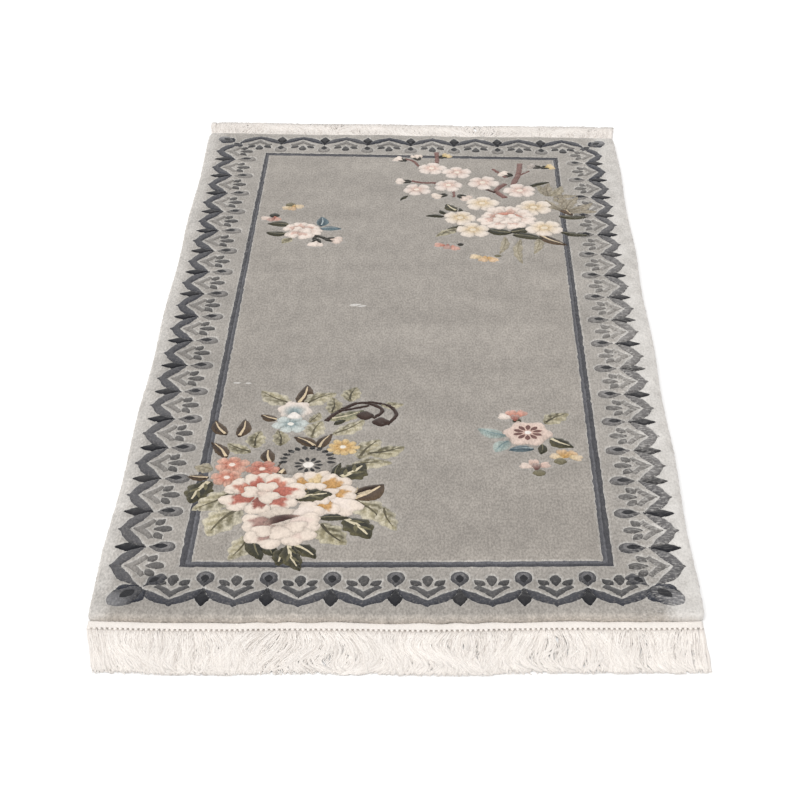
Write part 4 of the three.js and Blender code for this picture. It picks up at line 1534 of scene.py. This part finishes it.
def yarns(x, y, sway, lean, end, length, uneven, grey, past):
    """Loose yarns that fan out from each knot, over flat ones that lie on the floor."""
    drifts = {"tip": drifting(DRIFT_TIP), "middle": drifting(DRIFT_MIDDLE), "curl": drifting(DRIFT_CURL)}
    paths, share, level = yarn_paths(x, y, sway, lean, end, length, uneven, past, YARNS, drifts)
    start, rest = YARN_START * (1 + level), YARN_RADIUS[0] + YARN_HEAP * level
    drop = ease(share * YARN_DROP)
    sink = TIP_SINK * level[:, None] * share ** 2
    paths[..., 2] = start[:, None] + (rest - start)[:, None] * drop - sink
    radii = np.tile(np.linspace(*YARN_RADIUS, YARN_POINTS), (len(paths), 1))
    vertices, faces = tubes(paths, radii, YARN_SIDES, YARN_FLAT)
    # Painted shade at each yarn's root, where it shows between the knots
    root = ROOT_SHADE_SHARE["yarn"] * (1 - ease(share / ROOT_FADE))
    # Tan yarns: partly their own tone, partly painted warm shade among the locks
    tint = grey + DARK_YARNS["share"] * (random.random((len(paths), 1)) < DARK_YARNS["count"])
    shades = np.maximum(np.repeat(root, YARN_SIDES), tint).ravel()

    length = UNDER_LENGTH * length
    paths, _, level = yarn_paths(x, y, sway, lean, end, length, uneven, past, UNDER_YARNS, drifts)
    paths[..., 2] = UNDER_RADIUS * UNDER_FLAT + UNDER_HEAP * level[:, None]
    radii = np.full(paths.shape[:2], UNDER_RADIUS)
    under, under_faces = tubes(paths, radii, UNDER_SIDES, UNDER_FLAT, math.pi / 4)
    faces += [face + len(vertices) for face in under_faces]
    # The flat yarns carry painted brown shade, which warms the gaps between the loose yarns
    shades = np.concatenate([shades, np.full(len(under), ROOT_SHADE_SHARE["under"] + grey)])
    return np.concatenate([vertices, under]), faces, shades


def fringe(name, material, end, length, uneven, sway, waves, end_lean, grey, past):
    """One fringe as a mesh: strip, knots and yarns, with the share of painted brown shade and tan at each
    point.
    """
    x, y, swayed, lean = lock_roots(end, end_lean, sway, waves)
    parts = [woven_strip(end), knots(x, y, end)]
    parts.append(yarns(x, y, swayed, lean, end, length, uneven, grey, past))
    vertices, faces, shades, start = [], [], [], 0
    for part_vertices, part_faces, part_shades in parts:
        vertices.append(part_vertices)
        faces += [face + start for face in part_faces]
        shades.append(part_shades)
        start += len(part_vertices)
    made = mesh_object(name, np.concatenate(vertices), faces, material)
    attribute = made.data.color_attributes.new("ShadeAndTan", "FLOAT_COLOR", "POINT")
    shade = np.concatenate(shades)
    attribute.data.foreach_set("color", np.column_stack([shade, shade, shade, np.ones(len(shade))]).ravel())
    work = bmesh.new()
    work.from_mesh(made.data)
    bmesh.ops.recalc_face_normals(work, faces=work.faces)
    work.to_mesh(made.data)
    work.free()
    return made


# Materials

def add_node(tree, kind, inputs, **settings):
    made = tree.nodes.new(kind)
    for name, value in settings.items():
        setattr(made, name, value)
    for socket, value in inputs.items():
        if isinstance(value, bpy.types.NodeSocket):
            tree.links.new(value, made.inputs[socket])
        else:
            made.inputs[socket].default_value = value
    return made.outputs


def new_material(name):
    material = bpy.data.materials.new(name)
    material.use_nodes = True
    return material, material.node_tree, material.node_tree.nodes["Principled BSDF"]


def noise(tree, place, scale, detail):
    """Noise from 0 to 1 with a scale in cells a metre along each axis."""
    mapped = add_node(tree, "ShaderNodeMapping", {"Vector": place, "Scale": scale})["Vector"]
    return add_node(tree, "ShaderNodeTexNoise", {"Vector": mapped, "Scale": 1.0, "Detail": detail})["Fac"]


def shading_noises(tree, place, rows):
    """Noises by name, each with how far it shades a colour."""
    made = {}
    for name, (scale, detail, strength) in rows.items():
        made[name] = (noise(tree, place, scale, detail), strength)
    return made


def calculate(tree, operation, first, second):
    return add_node(tree, "ShaderNodeMath", {0: first, 1: second}, operation=operation)["Value"]


def ramp(tree, value, low, high, to_low=0.0, to_high=1.0):
    inputs = {"Value": value, "From Min": low, "From Max": high, "To Min": to_low, "To Max": to_high}
    return add_node(tree, "ShaderNodeMapRange", inputs, interpolation_type="SMOOTHSTEP")["Result"]


def toned(tree, colour, *shades):
    """A colour made lighter and darker by several noises, each with its strength."""
    tone = None
    for value, strength in shades:
        shade = ramp(tree, value, *NOISE_RANGE, 1 - strength, 1 + strength)
        tone = shade if tone is None else calculate(tree, "MULTIPLY", tone, shade)
    return add_node(tree, "ShaderNodeVectorMath", {0: colour, "Scale": tone}, operation="SCALE")["Vector"]


def mixed(tree, share, first, second):
    """A blend of two colours, through the colour sockets of a mix node."""
    inputs = {MIX_SOCKETS["share"]: share, MIX_SOCKETS["first"]: first, MIX_SOCKETS["second"]: second}
    return add_node(tree, "ShaderNodeMix", inputs, data_type="RGBA")[MIX_SOCKETS["result"]]


def set_inputs(node, values):
    for socket, value in values.items():
        node.inputs[socket].default_value = value


def silk_material():
    """Cut silk pile: the dyes, flecked by knots and streaked along the rows, with painted sheen of the nap as
    pale hairs on the right side.
    """
    material, tree, shader = new_material("silk_pile")
    place = add_node(tree, "ShaderNodeTexCoord", {})["Object"]
    colour = add_node(tree, "ShaderNodeVertexColor", {}, layer_name="Dye")["Color"]
    x, y, _ = add_node(tree, "ShaderNodeSeparateXYZ", {0: place}).values()
    brightness = add_node(tree, "ShaderNodeRGBToBW", {0: colour})["Val"]

    across = ramp(tree, calculate(tree, "ABSOLUTE", x, 0.0), *BORDER_SPAN["across"])
    along = ramp(tree, calculate(tree, "ABSOLUTE", y, 0.0), *BORDER_SPAN["along"])
    fleck = ramp(tree, noise(tree, place, *FLECKS["noise"]), *FLECKS["from"], 0.0, FLECKS["share"])
    fleck = calculate(tree, "MULTIPLY", fleck, ramp(tree, brightness, *DARK_DYES))
    fleck = calculate(tree, "MULTIPLY", fleck, calculate(tree, "MAXIMUM", across, along))
    colour = mixed(tree, fleck, colour, (*dye("ground"), 1))

    # Painted sheen: pale hairs of the nap along the right side
    sheen_hairs = ramp(tree, noise(tree, place, *SHEEN_HAIRS["noise"]), *SHEEN_HAIRS["from"], 0.0, SHEEN_HAIRS["share"])
    sheen_hairs = calculate(tree, "MULTIPLY", sheen_hairs, ramp(tree, x, *SHEEN_HAIRS["across"]))
    sheen_hairs = calculate(tree, "MULTIPLY", sheen_hairs, ramp(tree, y, *SHEEN_HAIRS["along"], 1.0, SHEEN_HAIRS["far"]))
    sheen_hairs = calculate(tree, "MULTIPLY", sheen_hairs, ramp(tree, brightness, *DARK_DYES, SHEEN_HAIRS["dark"], 1.0))
    colour = mixed(tree, sheen_hairs, colour, (*dye("nap_sheen"), 1))

    shades = shading_noises(tree, place, SILK_NOISES)
    paleness = add_node(tree, "ShaderNodeRGBToBW", {0: colour})["Val"]
    flecked = toned(tree, colour, *shades.values())
    even_share = ramp(tree, paleness, *PALE_DYES["from"], 0.0, PALE_DYES["share"])
    colour = mixed(tree, even_share, flecked, colour)
    tree.links.new(colour, shader.inputs["Base Color"])

    fibre = calculate(tree, "MULTIPLY", shades["fibre"][0], FIBRE_HEIGHT)
    height = calculate(tree, "ADD", shades["knots"][0], fibre)
    bump = add_node(tree, "ShaderNodeBump", {"Height": height, **SILK_BUMP})
    tree.links.new(bump["Normal"], shader.inputs["Normal"])
    set_inputs(shader, SILK_FINISH)
    return material


def yarn_material():
    """Undyed cream yarn with a fine twist, mixed towards brown where the mesh carries painted shade and tan.
    """
    material, tree, shader = new_material("fringe_yarn")
    place = add_node(tree, "ShaderNodeTexCoord", {})["Object"]
    shade, light = YARN_GAIN * dye("yarn_shade"), YARN_GAIN * dye("yarn")
    cream = mixed(tree, noise(tree, place, *YARN_STREAKS), (*shade, 1), (*light, 1))
    # Painted shade and tan: the mesh's share of brown
    root = add_node(tree, "ShaderNodeVertexColor", {}, layer_name="ShadeAndTan")["Color"]
    cream = mixed(tree, root, cream, (*dye("root_shade_and_tan"), 1))
    shades = shading_noises(tree, place, YARN_NOISES)
    colour = toned(tree, cream, *shades.values())
    tree.links.new(colour, shader.inputs["Base Color"])
    bump = add_node(tree, "ShaderNodeBump", {"Height": shades["twist"][0], **YARN_BUMP})
    tree.links.new(bump["Normal"], shader.inputs["Normal"])
    set_inputs(shader, YARN_FINISH)
    return material


# Studio

def studio():
    material, _, shader = new_material("studio_floor")
    set_inputs(shader, FLOOR_FINISH)
    half = FLOOR_SIZE / 2 / MM
    low = -FLOOR_DROP / MM
    corners = [(-half, -half, low), (half, -half, low), (half, half, low), (-half, half, low)]
    mesh_object("studio_floor", corners, [(0, 1, 2, 3)], material)

    world = bpy.data.worlds.new("studio_sky")
    world.use_nodes = True
    set_inputs(world.node_tree.nodes["Background"], {"Color": (1, 1, 1, 1), "Strength": SKY_STRENGTH})
    bpy.context.scene.world = world

    sun = bpy.data.lights.new("sun", "SUN")
    sun.energy = SUN_STRENGTH
    sun.angle = math.radians(SUN_SPREAD)
    lamp = bpy.data.objects.new("sun", sun)
    lamp.rotation_euler = Vector(SUN_FROM).to_track_quat("Z", "Y").to_euler()
    bpy.context.collection.objects.link(lamp)

    camera = bpy.data.cameras.new("camera")
    camera.lens = CAMERA_LENS
    camera.sensor_width = CAMERA_SENSOR
    eye = bpy.data.objects.new("camera", camera)
    turns = [(CAMERA_YAW, "Z"), (90 - CAMERA_PITCH, "X"), (CAMERA_ROLL, "Z")]
    turned = Matrix.Identity(4)
    for angle, axis in turns:
        turned = turned @ Matrix.Rotation(math.radians(angle), 4, axis)
    eye.matrix_world = Matrix.Translation(CAMERA_PLACE) @ turned
    bpy.context.collection.objects.link(eye)
    bpy.context.scene.camera = eye
    bpy.context.scene.view_settings.view_transform = "Standard"


frame_line()
wear_marks()
border()
sprays()

rug = rug_pile(silk_material())
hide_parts("rug_pile")
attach(rug, "root")

yarn = yarn_material()
for node, layout in FRINGES.items():
    made = fringe(node.replace("fringe", "yarns"), yarn, **layout)
    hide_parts(node)
    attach(made, "root")

studio()
